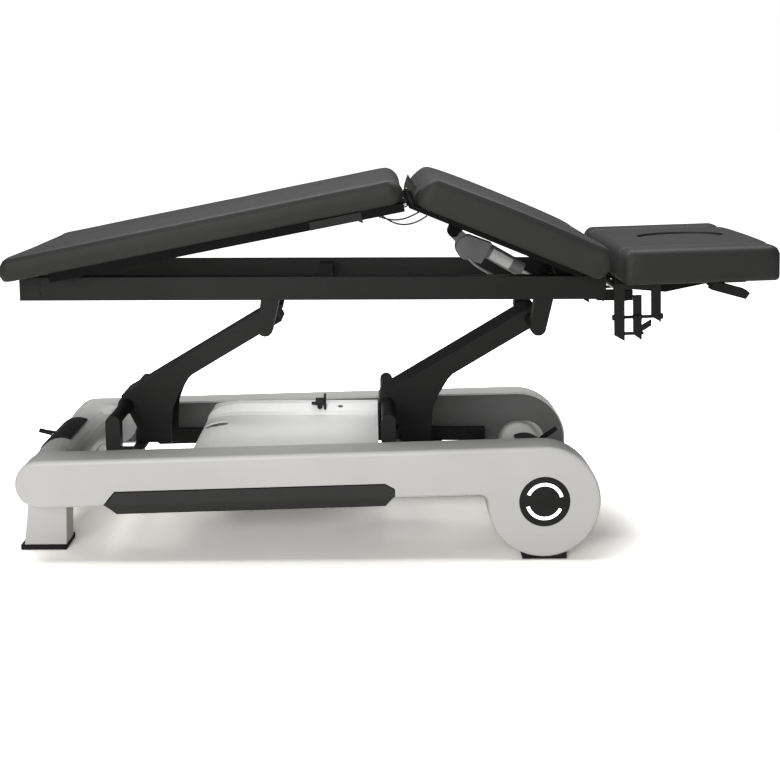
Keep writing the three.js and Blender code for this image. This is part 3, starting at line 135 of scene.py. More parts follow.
def tones(material, shader, source, rgb, change):
    """A slow change between a darker and a lighter shade of one colour."""
    made = node(material, "ShaderNodeValToRGB")
    dark = tuple(c * (1 - change) for c in rgb)
    light = tuple(c * (1 + change) for c in rgb)
    for element, place, tone in zip(made.color_ramp.elements, RAMP_ENDS, (dark, light)):
        element.position = place
        element.color = (*tone, 1)
    link(material, source, made.inputs["Fac"])
    link(material, made.outputs["Color"], shader.inputs["Base Color"])


def rough_range(material, shader, source, low, high):
    made = node(material, "ShaderNodeMapRange")
    made.inputs["To Min"].default_value = low
    made.inputs["To Max"].default_value = high
    link(material, source, made.inputs["Value"])
    link(material, made.outputs["Result"], shader.inputs["Roughness"])


def bump(material, shader, source, strength, depth, before=None):
    made = node(material, "ShaderNodeBump", Strength=strength, Distance=depth)
    link(material, source, made.inputs["Height"])
    if before is not None:
        link(material, before.outputs["Normal"], made.inputs["Normal"])
    link(material, made.outputs["Normal"], shader.inputs["Normal"])
    return made


def surface(name, rgb, rough, tone, wear, bumps=None, **extra):
    """A whole finish: tone is a change of shade, wear a range of roughness, bumps a fine relief."""
    material, shader = finish(name, rgb, rough, **extra)
    tones(material, shader, grain(material, tone["scale"], tone.get("stretch", EVEN)), rgb, tone["change"])
    rough_range(material, shader, grain(material, wear["scale"]), wear["low"], wear["high"])
    if bumps:
        detail = bumps.get("detail", NOISE_DETAIL)
        source = grain(material, bumps["scale"], bumps.get("stretch", EVEN), detail)
        bump(material, shader, source, bumps["strength"], bumps["depth"])
    return material


# %% [markdown]
# The covers are moulded and sprayed in a light satin grey. The cover between them is paler: partly its own
# whiter paint, partly painted light that makes up for the shade of the bed above it. Up close such a skin has
# a faint orange peel, and it is a little duller where shoes and mops touch it. One flat colour would look
# like card. A picture of the paint would need its seams hidden, so noise does it here, at the size of the
# real grain. The feet, bars and panels are made in the same way.

# %% Finishes of the base


def satin(name, rgb):
    """Sprayed satin paint on a moulded cover."""
    return surface(name, rgb, rough=0.42, coat=0.12, tone=dict(scale=5, change=0.025),
                   wear=dict(scale=14, low=0.36, high=0.5),
                   bumps=dict(scale=420, detail=2, strength=0.06, depth=0.0006))


shell = satin("satin_light_grey", (0.60, 0.60, 0.59))
# Paler than the shell: partly whiter paint, partly painted light for the shade of the bed above
paler_cover_and_painted_light = satin("satin_white_and_painted_light", (0.86, 0.86, 0.85))
panel = surface("dark_panel", (0.13, 0.13, 0.129), rough=0.55, tone=dict(scale=6, change=0.08),
                wear=dict(scale=22, low=0.48, high=0.62),
                bumps=dict(scale=600, detail=2, strength=0.12, depth=0.0005))
hub = surface("satin_black_moulding", (0.010, 0.010, 0.010), rough=0.42, specular=0.25,
              tone=dict(scale=9, change=0.2), wear=dict(scale=40, low=0.36, high=0.5),
              bumps=dict(scale=700, detail=2, strength=0.1, depth=0.0004))
bar_rubber = surface("foot_bar_rubber", (0.028, 0.028, 0.028), rough=0.6, specular=0.3,
                     tone=dict(scale=7, change=0.12, stretch=(0.3, 1, 1)),
                     wear=dict(scale=30, low=0.5, high=0.68),
                     bumps=dict(scale=520, detail=3, strength=0.25, depth=0.0006))
rubber = surface("black_rubber", (0.012, 0.012, 0.012), rough=0.7, specular=0.2,
                 tone=dict(scale=12, change=0.25), wear=dict(scale=45, low=0.62, high=0.8),
                 bumps=dict(scale=380, detail=3, strength=0.3, depth=0.0008))

GLOW_RGBA, GLOW_STRENGTH = (1, 1, 0.98, 1), 1.6
GUIDE_RGB, GUIDE_ROUGH = (0.9, 0.9, 0.9), 0.35
GUIDE_WEAR = dict(scale=60, low=0.3, high=0.42)
light, shader = finish("light_guide", GUIDE_RGB, GUIDE_ROUGH)
shader.inputs["Emission Color"].default_value = GLOW_RGBA
shader.inputs["Emission Strength"].default_value = GLOW_STRENGTH
rough_range(light, shader, grain(light, GUIDE_WEAR["scale"]), GUIDE_WEAR["low"], GUIDE_WEAR["high"])
print("base finishes", len(bpy.data.materials))

# %% [markdown]
# The steelwork has a dark powder coat. The powder melts into a fine, slightly lumpy skin with soft
# reflections, which is why the tops of the arms look so much paler than their sides. A dark colour with a
# low specular level keeps the sides deep, and a patchy roughness breaks up the light on the tops.

# %% Finishes of the steelwork and the drives
steel = surface("powder_coat", (0.013, 0.013, 0.0128), rough=0.4, specular=0.18,
                tone=dict(scale=4, change=0.12), wear=dict(scale=26, low=0.34, high=0.48),
                bumps=dict(scale=900, detail=3, strength=0.22, depth=0.0005))
board = surface("black_board", (0.003, 0.003, 0.003), rough=0.75, specular=0.1,
                tone=dict(scale=30, change=0.3, stretch=(0.15, 1, 1)),
                wear=dict(scale=20, low=0.55, high=0.7),
                bumps=dict(scale=160, strength=0.2, depth=0.0006, stretch=(0.1, 1, 1)))
zinc = surface("zinc_plate", (0.55, 0.55, 0.54), rough=0.32, metal=1.0,
               tone=dict(scale=60, change=0.1), wear=dict(scale=120, low=0.24, high=0.42),
               bumps=dict(scale=900, strength=0.06, depth=0.0003, stretch=(0.1, 1, 1)))
drive = surface("drive_housing", (0.16, 0.16, 0.162), rough=0.5,
                tone=dict(scale=14, change=0.1), wear=dict(scale=40, low=0.42, high=0.58),
                bumps=dict(scale=650, detail=3, strength=0.2, depth=0.0005))
lead_skin = surface("lead_skin", (0.02, 0.02, 0.02), rough=0.5,
                    tone=dict(scale=40, change=0.2), wear=dict(scale=90, low=0.42, high=0.58))
pale_skin = surface("pale_lead_skin", (0.3, 0.3, 0.29), rough=0.5,
                    tone=dict(scale=40, change=0.1), wear=dict(scale=90, low=0.42, high=0.58))
print("with the steelwork", len(bpy.data.materials))

# %% [markdown]
# Upholstery vinyl is a soft plastic skin with pressed leather grain: small rounded cells about 1 mm
# across with creases between them. A Voronoi texture gives the cells and a fine noise breaks them up.
# Large flat areas pick up a slight change of sheen where they are wiped.

# %% Finish of the upholstery
VINYL_RGB, VINYL_ROUGH = (0.027, 0.027, 0.0265), 0.52
VINYL_SPECULAR = 0.26
CELLS = dict(scale=620, strength=0.35, depth=0.0005)
PORES = dict(scale=1500, detail=3, strength=0.12, depth=0.0003)
SHADE = dict(scale=3.2, change=0.07)
WIPED = dict(scale=9, change=0.07)
SHEEN_WEIGHT, SHEEN_ROUGH = 0.03, 0.45

vinyl, shader = finish("upholstery_vinyl", VINYL_RGB, VINYL_ROUGH, specular=VINYL_SPECULAR)
place = node(vinyl, "ShaderNodeTexCoord")
cells = node(vinyl, "ShaderNodeTexVoronoi", Scale=CELLS["scale"], feature="SMOOTH_F1")
link(vinyl, place.outputs["Object"], cells.inputs["Vector"])
pores = bump(vinyl, shader, grain(vinyl, PORES["scale"], detail=PORES["detail"]), PORES["strength"],
             PORES["depth"])
bump(vinyl, shader, cells.outputs["Distance"], CELLS["strength"], CELLS["depth"], before=pores)
tones(vinyl, shader, grain(vinyl, SHADE["scale"]), VINYL_RGB, SHADE["change"])
rough_range(vinyl, shader, grain(vinyl, WIPED["scale"]), VINYL_ROUGH - WIPED["change"],
            VINYL_ROUGH + WIPED["change"])
shader.inputs["Sheen Weight"].default_value = SHEEN_WEIGHT
shader.inputs["Sheen Roughness"].default_value = SHEEN_ROUGH
print("finishes", len(bpy.data.materials))

# %% [markdown]
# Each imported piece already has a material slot. Its new finish goes into that slot. A weld joins the
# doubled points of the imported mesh, and a bevel then breaks the sharp edges, because a real edge is never
# perfectly sharp and shows as a thin pale line. The edges could be cut into the mesh, but modifiers leave
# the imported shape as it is. The bevel is small, so nothing moves by more than its radius.

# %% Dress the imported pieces
DRESS = {
    shell: "near_side_cover far_side_cover foot_crossbar head_crossbar near_foot_post far_foot_post",
    paler_cover_and_painted_light: "centre_cover",
    panel: "near_inner_panel far_inner_panel control_box",
    hub: "near_hub_cap far_hub_cap foot_pedal_cover head_pedal_cover key_switch key",
    bar_rubber: "near_foot_bar far_foot_bar",
    rubber: "near_foot_pad far_foot_pad near_disc_pad far_disc_pad foot_pedal head_pedal head_release_lever",
    light: "near_light_ring far_light_ring",
    steel: "chassis foot_pivot_stand head_pivot_stand foot_lift_arm head_lift_arm foot_upper_bracket "
    "head_upper_bracket bed_frame near_arm_hanger far_arm_hanger near_arm_link far_arm_link leg_side_plate",
    board: "middle_board leg_board head_board",
    zinc: "head_hinge_shaft apex_pin lift_drive_rod back_drive_rod",
    drive: "lift_drive_motor back_drive_motor",
}
EDGE = {
    shell: 0.8 * MM, paler_cover_and_painted_light: 0.8 * MM, panel: 0.8 * MM, hub: 0.5 * MM, bar_rubber: 1.2 * MM,
    rubber: 0.8 * MM, steel: 0.9 * MM, board: 1.2 * MM, zinc: 0.4 * MM, drive: 1.2 * MM,
}
EDGE_ANGLE, EDGE_SEGMENTS = math.radians(32), 2
WELD_REACH = 0.00001

for material, names in DRESS.items():
    for name in names.split():
        piece = NODES[name]
        piece.material_slots[0].material = material
        weld = piece.modifiers.new("weld", "WELD")
        weld.merge_threshold = WELD_REACH
        if material in EDGE:
            edge = piece.modifiers.new("edge", "BEVEL")
            edge.width = EDGE[material]
            edge.segments = EDGE_SEGMENTS
            edge.limit_method = "ANGLE"
            edge.angle_limit = EDGE_ANGLE
            edge.harden_normals = True
print("dressed", sum(len(names.split()) for names in DRESS.values()), "pieces")

# %% [markdown]
# The three sections each have their own axes: u runs along the section, v across the table, and w up from
# the section's hinge line. A pad is modelled in those axes, where it lies flat, and is then turned into
# place, as the upholsterer makes it on a bench before it goes on the table.

# %% Axes of the sections
APEX = Vector((0.0420717 + ORIGIN_X, 0, 0.9240294))
SEAT_HINGE = Vector((0.486 + ORIGIN_X, 0, 0.715))
HEAD_HINGE = Vector((0.640 + ORIGIN_X, 0, 0.680))
LEG_RISE, MIDDLE_RISE, HEAD_RISE = 11.3, -22.2, 1.8


def section(hinge, rise):
    return Matrix.Translation(hinge) @ Matrix.Rotation(-math.radians(rise), 4, "Y")


LEG = section(APEX, LEG_RISE)
MIDDLE = section(SEAT_HINGE, MIDDLE_RISE)
HEAD = section(HEAD_HINGE, HEAD_RISE)
print("apex", tuple(round(c, 4) for c in APEX))

# %% [markdown]
# A pad is foam on a board, wrapped in vinyl. Seen from above it is a rectangle with round corners whose
# sides pull in a little between them. Seen from the side it is tucked in where it meets the board, full at
# half height, and rolled over at the top into a low crown. The skin is made from rings that climb the side
# and close in over the top, which gives an even net of four-sided faces for the next steps.

# %% Rings of a pad
CORNER_STEPS, LONG_STEPS, SHORT_STEPS = 9, 34, 22
CORNER_SHRINK, LEAST_CORNER_PART = 0.6, 3
DIP_POWER = 0.8


def rounded_plan(u0, u1, half, radius, pull, inset):
    """The pad's outline from above, drawn in by an inset."""
    corner = max(radius - inset * CORNER_SHRINK, radius / LEAST_CORNER_PART)
    left, right, wide = u0 + inset, u1 - inset, half - inset
    points = []

    def run(start, end, count, inward):
        for i in range(1, count):
            share = i / count
            dip = pull * math.sin(math.pi * share) ** DIP_POWER
            points.append((start[0] + (end[0] - start[0]) * share + inward[0] * dip,
                           start[1] + (end[1] - start[1]) * share + inward[1] * dip))

    def turn(centre, start):
        for i in range(CORNER_STEPS + 1):
            angle = math.radians(start + 90 * i / CORNER_STEPS)
            points.append((centre[0] + corner * math.cos(angle), centre[1] + corner * math.sin(angle)))

    turn((right - corner, wide - corner), 0)
    run((right - corner, wide), (left + corner, wide), LONG_STEPS, (0, -1))
    turn((left + corner, wide - corner), 90)
    run((left, wide - corner), (left, -wide + corner), SHORT_STEPS, (1, 0))
    turn((left + corner, -wide + corner), 180)
    run((left + corner, -wide), (right - corner, -wide), LONG_STEPS, (0, 1))
    turn((right - corner, -wide + corner), 270)
    run((right, -wide + corner), (right, wide - corner), SHORT_STEPS, (-1, 0))
    return points


# Each row is an angle up the top roll and the share of the ridge's height that stands out there
RIDGE_ROWS = ((0, 0), (18, 0), (34, 0), (44, 0.1), (50, 0.6), (54, 1.0), (58, 0.5), (63, -0.15), (71, 0),
              (80, 0), (90, 0))
TUCK_ANGLES = (0, 22, 45, 68, 90)
SIDE_SHARES = (0.25, 0.5, 0.75)
TUCK_SPEED = 1.6


def side_profile(thick, top_roll, bottom_roll, tuck, ridge):
    """(inset, height) from the board up the side to the start of the top."""
    turns = [math.radians(angle) for angle in TUCK_ANGLES]
    rows = [(tuck + bottom_roll * (1 - math.sin(turn)), bottom_roll * (1 - math.cos(turn))) for turn in turns]
    straight = thick - top_roll - bottom_roll
    for share in SIDE_SHARES:
        bulge = tuck * (1 - math.sin(math.pi / 2 * min(1, share * TUCK_SPEED)))
        rows.append((bulge, bottom_roll + straight * share))
    for angle, proud in RIDGE_ROWS:
        inset = top_roll * (1 - math.cos(math.radians(angle)))
        rows.append((inset - ridge * proud, thick - top_roll * (1 - math.sin(math.radians(angle)))))
    return rows


def skin(name, rings):
    """A closed mesh through rings of equal count, with a fan of faces over each end."""
    mesh = bpy.data.meshes.new(name)
    maker = bmesh.new()
    loops = [[maker.verts.new(p) for p in ring] for ring in rings]
    count = len(loops[0])
    for low, high in zip(loops, loops[1:]):
        for i in range(count):
            maker.faces.new((low[i], low[(i + 1) % count], high[(i + 1) % count], high[i]))
    for loop, flip in ((loops[0], True), (loops[-1], False)):
        centre = maker.verts.new(sum((v.co for v in loop), Vector()) / count)
        for i in range(count):
            a, b = loop[i], loop[(i + 1) % count]
            maker.faces.new((b, a, centre) if flip else (a, b, centre))
    bmesh.ops.recalc_face_normals(maker, faces=maker.faces)
    maker.to_mesh(mesh)
    maker.free()
    mesh.polygons.foreach_set("use_smooth", [True] * len(mesh.polygons))
    made = bpy.data.objects.new(name, mesh)
    bpy.context.scene.collection.objects.link(made)
    return made


# %% [markdown]
# Foam pushes outwards and vinyl holds it, which is what cloth with inside pressure does. The simulation
# runs for twenty frames, and each point may then move by no more than two millimetres, because this
# upholstery is firm. The underside and a narrow band above it are pinned, as they are stapled to the board.

# %% Foam under vinyl
FOAM_FRAMES, FOAM_QUALITY, FOAM_PRESSURE = 20, 5, 3.0
FOAM_SWELL = 2.0 * MM
TINY = 1e-9
SIDEWAYS_SEED_SHARE = 0.7


def inflate(piece, pinned):
    """Let inside pressure swell the piece, and then limit how far each point moved."""
    rest = [v.co.copy() for v in piece.data.vertices]
    group = piece.vertex_groups.new(name="stapled")
    group.add([v.index for v in piece.data.vertices if pinned(v.co)], 1.0, "REPLACE")
    cloth = piece.modifiers.new("foam", "CLOTH")
    cloth.settings.use_pressure = True
    cloth.settings.uniform_pressure_force = FOAM_PRESSURE
    cloth.settings.effector_weights.gravity = 0
    cloth.settings.vertex_group_mass = "stapled"
    cloth.settings.quality = FOAM_QUALITY
    cloth.point_cache.frame_start, cloth.point_cache.frame_end = 1, FOAM_FRAMES
    for moment in range(1, FOAM_FRAMES + 1):
        bpy.context.scene.frame_set(moment)
    graph = bpy.context.evaluated_depsgraph_get()
    swollen = piece.evaluated_get(graph).to_mesh()
    moved = [v.co.copy() for v in swollen.vertices]
    piece.evaluated_get(graph).to_mesh_clear()
    piece.modifiers.remove(cloth)
    piece.vertex_groups.clear()
    for vertex, start, end in zip(piece.data.vertices, rest, moved):
        step = end - start
        vertex.co = start + step * min(1.0, FOAM_SWELL / max(step.length, TINY))
    bpy.context.scene.frame_set(1)


def soften(piece, amount, size, seed):
    """Small hollows and fullness in the foam, at a hand's width."""
    for vertex in piece.data.vertices:
        where = vertex.co / size + Vector((seed, seed * SIDEWAYS_SEED_SHARE, 0))
        vertex.co += vertex.normal * amount * noise.noise(where)


def settle(piece, place, body, material):
    """Turn a piece into place, cover it, round it off and hand it to its section."""
    piece.data.transform(place)
    piece.data.materials.append(material)
    rounder = piece.modifiers.new("rounder", "SUBSURF")
    rounder.levels = rounder.render_levels = 1
    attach(piece, body)


# %% [markdown]
# The leg pad is over a metre long, and its foot end is a little thinner. The ends of both pads are rolled
# over more than their sides, so one outline is blended out of three. A soft ridge runs along the top roll,
# where the top panel is sewn to the side band.

# %% Leg and middle pads
HALF = 300 * MM
CROWN, CROWN_RUN = 4 * MM, 110 * MM
CROWN_SHARES = (0.12, 0.3, 0.55, 0.8, 1.0)
CORNER, TUCK, PULL, RIDGE = 40 * MM, 3 * MM, 3 * MM, 1.5 * MM
UNDER_INSET, STAPLED_BAND = 50 * MM, 4 * MM
HOLLOWS, HAND_WIDTH = 0.8 * MM, 0.16
# Each roll is a radius at the top and one at the bottom
SIDE_ROLL = (20 * MM, 14 * MM)
PADS = {
    "leg": dict(left=-1066 * MM, right=4 * MM, under=16.5 * MM, thick=66 * MM, foot_thinner=4 * MM, dome=0,
                left_roll=(46 * MM, 14 * MM), right_roll=(42 * MM, 22 * MM), place=LEG, seed=3.1),
    "middle": dict(left=-484 * MM, right=66 * MM, under=42.3 * MM, thick=84 * MM, foot_thinner=0, dome=7 * MM,
                   left_roll=(62 * MM, 16 * MM), right_roll=(52 * MM, 28 * MM), place=MIDDLE, seed=7.7),
}


def blended(plans, weights):
    """One outline out of three: the sides', the left end's and the right end's."""
    return [(p[0] * (1 - l - r) + a[0] * l + b[0] * r, p[1] * (1 - l - r) + a[1] * l + b[1] * r)
            for p, a, b, (l, r) in zip(*plans, weights)]


def pad(name, size):
    left, right, under, thick = size["left"], size["right"], size["under"], size["thick"]
    rolls = (SIDE_ROLL, size["left_roll"], size["right_roll"])

    def plan(inset):
        return rounded_plan(left, right, HALF, CORNER, PULL, inset)

    # The outline runs along +v on the right end and along -v on the left end
    base = plan(0)
    weights = []
    for i in range(len(base)):
        before, after = base[i - 1], base[(i + 1) % len(base)]
        along = Vector((after[0] - before[0], after[1] - before[1])).normalized().y
        weights.append((along ** 2 if along < 0 else 0.0, along ** 2 if along > 0 else 0.0))
    rings = []
    for rows in zip(*(side_profile(thick, *roll, TUCK, RIDGE) for roll in rolls)):
        outline = blended([plan(inset) for inset, _ in rows], weights)
        heights = [rows[0][1] * (1 - l - r) + rows[1][1] * l + rows[2][1] * r for l, r in weights]
        rings.append([(u, v, height) for (u, v), height in zip(outline, heights)])
    for share in CROWN_SHARES:
        rise = CROWN * (1 - (1 - share) ** 2)
        insets = [roll[0] + CROWN_RUN * share for roll in rolls]
        rings.append([(u, v, thick + rise) for u, v in blended([plan(inset) for inset in insets], weights)])
    rings.insert(0, [(u, v, 0) for u, v in plan(UNDER_INSET)])
    long = right - left

    def lift(u, height):
        dome = size["dome"] * (1 - ((u - (left + right) / 2) / (long / 2)) ** 2) * (height / thick) ** 2
        return under + height * (1 - (right - u) / long * size["foot_thinner"] / thick) + dome

    return skin(name, [[(u, v, lift(u, height)) for u, v, height in ring] for ring in rings])


for name, size in PADS.items():
    made = pad(name + "_pad", size)
    inflate(made, lambda co: co.z < size["under"] + STAPLED_BAND)
    soften(made, HOLLOWS, HAND_WIDTH, size["seed"])
    settle(made, size["place"], name + "_section", vinyl)
    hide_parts(name + "_cushion")
    print(name, "pad", len(made.data.vertices), "points")

# %% [markdown]
# The head pad has three lobes side by side. Creases part them, and their free ends are round. Here each
# ring is a section along the table, and the rings follow each other across it, closer together at the
# creases. The height and the length of each section come from its distance to the nearest crease and to
# the edge. The face hole is then cut through with a Boolean.

# %% Head pad
HEAD_UNDER, HEAD_THICK, HEAD_HALF = 45.5 * MM, 88 * MM, 295 * MM
HEAD_LEFT, HEAD_RIGHT, CENTRE_MORE = -31 * MM, 375 * MM, 9 * MM
HEAD_TOP_ROLL, HEAD_LOW_ROLL, HEAD_CORNER = 20 * MM, 12 * MM, 20 * MM
CREASE_V, CREASE_HALF, CREASE_DEPTH, CREASE_POWER = 205 * MM, 10 * MM, 11 * MM, 1.5
NOTCH_DEPTH, NOTCH_HALF, NOTCH_POWER = 28 * MM, 30 * MM, 1.6
LOBE_CROWN, LOBE_POWER = 3.5 * MM, 4
LOW_ARC = 12 * MM
RIGHT_ARC, RIGHT_ARC_SHARE = 24 * MM, 0.5
LEFT_ARC, LEFT_ARC_SHARE = 28 * MM, 0.4
ARC_STEPS, TOP_STEPS = 8, 30


def rounded_off(distance, radius):
    """How far a quarter-round edge lies below its full height at a distance from the edge."""
    inside = max(0.0, radius - distance)
    return radius - math.sqrt(max(0.0, radius ** 2 - inside ** 2))


def quarter(u, w, radius, start):
    """A quarter of a circle about a centre, from a start angle on."""
    angles = [math.radians(start + 90 * i / ARC_STEPS) for i in range(ARC_STEPS + 1)]
    return [(u + radius * math.cos(angle), w + radius * math.sin(angle)) for angle in angles]


def head_ring(v, shrunk=0.0):
    """Section of the pad along the table at one distance from its middle."""
    edge = HEAD_HALF - abs(v)
    near = abs(abs(v) - CREASE_V)
    notch = NOTCH_DEPTH * max(0.0, 1 - near / NOTCH_HALF) ** NOTCH_POWER
    crease = CREASE_DEPTH * max(0.0, 1 - near / CREASE_HALF) ** CREASE_POWER
    centre = abs(v) < CREASE_V
    lobe = abs(v) / CREASE_V if centre else (HEAD_HALF - abs(v)) / (HEAD_HALF - CREASE_V) * 2 - 1
    crown = LOBE_CROWN * (1 - min(1.0, abs(lobe)) ** LOBE_POWER)
    left = HEAD_LEFT + rounded_off(edge, HEAD_CORNER)
    right = HEAD_RIGHT + (CENTRE_MORE if centre else 0) - notch - rounded_off(edge, HEAD_CORNER)
    low = rounded_off(edge, HEAD_LOW_ROLL)
    high = HEAD_THICK - rounded_off(edge, HEAD_TOP_ROLL) + crown - crease
    right_arc = min(RIGHT_ARC, (high - low) * RIGHT_ARC_SHARE)
    left_arc = min(LEFT_ARC, (high - low) * LEFT_ARC_SHARE)
    points = quarter(right - LOW_ARC, low + LOW_ARC, LOW_ARC, 270)
    points += quarter(right - right_arc, high - right_arc, right_arc, 0)
    top_u, top_w = points[-1]
    top_run = left + left_arc - top_u
    points += [(top_u + top_run * i / TOP_STEPS, top_w) for i in range(1, TOP_STEPS)]
    points += quarter(left + left_arc, high - left_arc, left_arc, 90)
    points += quarter(left + LOW_ARC, low + LOW_ARC, LOW_ARC, 180)
    middle_u, middle_w = (left + right) / 2, (low + high) / 2
    return [(middle_u + (u - middle_u) * (1 - shrunk), v,
             HEAD_UNDER + middle_w + (w - middle_w) * (1 - shrunk)) for u, w in points]


# Places of the sections across the pad, from its edge: the rounded edge, the outer lobe, the crease and
# then even steps to the middle
EDGE_ANGLES = (0, 18, 32, 45, 58, 72, 90)
OUTER_LINES = (45, 58, 70)
CREASE_LINES = (-12, -8, -6, -4, -2, -0.8, 0, 0.8, 2, 4, 6, 8, 12, 20)
CENTRE_SPACING, CENTRE_COUNTS = 16, range(2, 13)
LEAST_GAP = 1 * MM
END_SHRINKS = (0.75, 0.4, 0.15)


def head_pad():
    lines = [HEAD_TOP_ROLL * (1 - math.cos(math.radians(a))) for a in EDGE_ANGLES]
    lines += [line * MM for line in OUTER_LINES]
    lines += [HEAD_HALF - CREASE_V + offset * MM for offset in CREASE_LINES]
    lines += [HEAD_HALF - CREASE_V + step * CENTRE_SPACING * MM for step in CENTRE_COUNTS]
    lines = sorted(line for line in lines if line < HEAD_HALF - LEAST_GAP)
    places = [-HEAD_HALF + line for line in lines] + [0.0] + [HEAD_HALF - line for line in reversed(lines)]
    rings = [head_ring(-HEAD_HALF, shrunk) for shrunk in END_SHRINKS]
    rings += [head_ring(v) for v in places]
    rings += [head_ring(HEAD_HALF, shrunk) for shrunk in reversed(END_SHRINKS)]
    return skin("head_pad", rings)


HOLE_U, HOLE_LONG, HOLE_WIDE, HOLE_STEPS = 190 * MM, 122 * MM, 74 * MM, 72
CUTTER_HEIGHTS = (-20, 20, 70, 120)
HOLE_EDGE_ANGLE = math.radians(50)


def oval(inset):
    """The face hole's outline, drawn in by an inset."""
    turns = [2 * math.pi * i / HOLE_STEPS for i in range(HOLE_STEPS)]
    return [(HOLE_U + (HOLE_LONG - inset) * math.cos(turn), (HOLE_WIDE - inset) * math.sin(turn))
            for turn in turns]


def cut_hole(piece):
    cutter = skin("hole_cutter", [[(u, v, HEAD_UNDER + height * MM) for u, v in oval(0)]
                                  for height in CUTTER_HEIGHTS])
    cut = piece.modifiers.new("hole", "BOOLEAN")
    cut.object, cut.operation, cut.solver = cutter, "DIFFERENCE", "EXACT"
    graph = bpy.context.evaluated_depsgraph_get()
    mesh = bpy.data.meshes.new_from_object(piece.evaluated_get(graph))
    piece.modifiers.remove(cut)
    piece.data = mesh
    bpy.data.objects.remove(cutter)
    mesh.polygons.foreach_set("use_smooth", [True] * len(mesh.polygons))
    mesh.set_sharp_from_angle(angle=HOLE_EDGE_ANGLE)


HEAD_HOLLOWS, PALM_WIDTH, HEAD_SEED = 0.5 * MM, 0.14, 2.2

head_cushion = head_pad()
soften(head_cushion, HEAD_HOLLOWS, PALM_WIDTH, HEAD_SEED)
cut_hole(head_cushion)
head_cushion.data.transform(HEAD)
head_cushion.data.materials.clear()
head_cushion.data.materials.append(vinyl)
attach(head_cushion, "head_section")
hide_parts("head_cushion")
print("head pad", len(head_cushion.data.vertices), "points")

# %% [markdown]
# A padded plug closes the face hole. It has the hole's outline with a small gap all round, nearly upright
# sides and a top that rolls over into a low dome. Each row of numbers below is one ring: how far it is drawn
# in, and its height.

# %% Plug of the face hole
PLUG_GAP = 1.5 * MM
PLUG_ROWS = ((4, 0), (1, 3), (0, 8), (0, 40), (0, 74), (1.2, 80), (3.4, 84), (7.5, 86.6), (16, 88.4),
             (30, 89.6), (52, 90.4))
plug = skin("face_hole_plug", [[(u, v, HEAD_UNDER + height * MM) for u, v in oval(PLUG_GAP + inset * MM)]
                               for inset, height in PLUG_ROWS])
settle(plug, HEAD, "head_section", vinyl)
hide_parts("face_plug")
print("plug", len(plug.data.vertices), "points")

# %% [markdown]
# At the near edge a short lug of the same vinyl stands over the hinge, between the two pads. From the side
# it is a bell with a low arch under it. Its outline is a smooth curve through a few points, carried across
# in rows that draw in at both faces. It is soft.

# %% Lug over the apex
LUG_SIDE = ((-5.5, 50), (-2, 55), (3.7, 47.5), (9, 47), (15, 46), (22, 50), (27, 56), (20, 62), (14, 71),
            (8, 81), (4.2, 87), (0.5, 79), (-3, 68), (-6.2, 56))
LUG_ROWS = ((-283, 2.4), (-282, 0.9), (-280, 0.1), (-246, 0.1), (-244, 0.9), (-243, 2.4))
LUG_SPAN_STEPS = 4
LUG_EDGE_ANGLE = math.radians(55)


def smooth_loop(points):
    """Points on a smooth curve through the corners of a closed outline."""
    curved = []
    for i in range(len(points)):
        a, b, c, d = (Vector(points[(i + k) % len(points)]) for k in (-1, 0, 1, 2))
        for step in range(LUG_SPAN_STEPS):
            t = step / LUG_SPAN_STEPS
            curved.append(0.5 * (2 * b + (c - a) * t + (2 * a - 5 * b + 4 * c - d) * t ** 2
                                 + (3 * b - a - 3 * c + d) * t ** 3))
    return curved


def lug(name):
    outline = smooth_loop(LUG_SIDE)
    centre = sum(outline, Vector((0, 0))) / len(outline)
    maker = bmesh.new()
    rows = []
    for y, inset in LUG_ROWS:
        rows.append([maker.verts.new(APEX + Vector((p.x, y, p.y)) * MM)
                     for p in (q + (centre - q).normalized() * inset for q in outline)])
    for low, high in zip(rows, rows[1:]):
        for i in range(len(outline)):
            after = (i + 1) % len(outline)
            maker.faces.new((low[i], low[after], high[after], high[i]))
    maker.faces.new(rows[0][::-1])
    maker.faces.new(rows[-1])
    bmesh.ops.recalc_face_normals(maker, faces=maker.faces)
    mesh = bpy.data.meshes.new(name)
    maker.to_mesh(mesh)
    maker.free()
    mesh.polygons.foreach_set("use_smooth", [True] * len(mesh.polygons))
    mesh.set_sharp_from_angle(angle=LUG_EDGE_ANGLE)
    made = bpy.data.objects.new(name, mesh)
    bpy.context.scene.collection.objects.link(made)
    return made


flap = lug("apex_lug")
flap.data.materials.append(vinyl)
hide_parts("apex_flap")
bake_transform(flap)
print("lug", len(flap.data.vertices), "points")

# %% [markdown]
# Two thin leads loop under the apex from board to board, and a thicker one leaves the drive of the middle
# section. They hang by their own weight between their clips. Each is a round curve guided by points in
# millimetres. The two at the apex become meshes.

# %% Leads
APEX_LEAD_RADIUS, DRIVE_LEAD_RADIUS = 2.2 * MM, 3.6 * MM
LEAD_ROUNDNESS, SPLINE_ORDER = 3, 4
APEX_LEADS = {
    "apex_lead_upper": ((-30, -240, 901.4), (-14, -240, 895), (8, -240, 891), (30, -240, 892),
                        (52, -240, 899), (76, -240, 912.2)),
    "apex_lead_lower": ((-20, -252, 903.4), (0, -252, 889), (24, -252, 880), (50, -252, 880.5),
                        (76, -252, 889), (96.5, -252, 903.8)),
}
DRIVE_LEAD = ((226, -33.3, 760), (236, -40, 748), (256, -60, 736), (284, -90, 724), (316, -130, 712),
              (345, -150.4, 704.6))


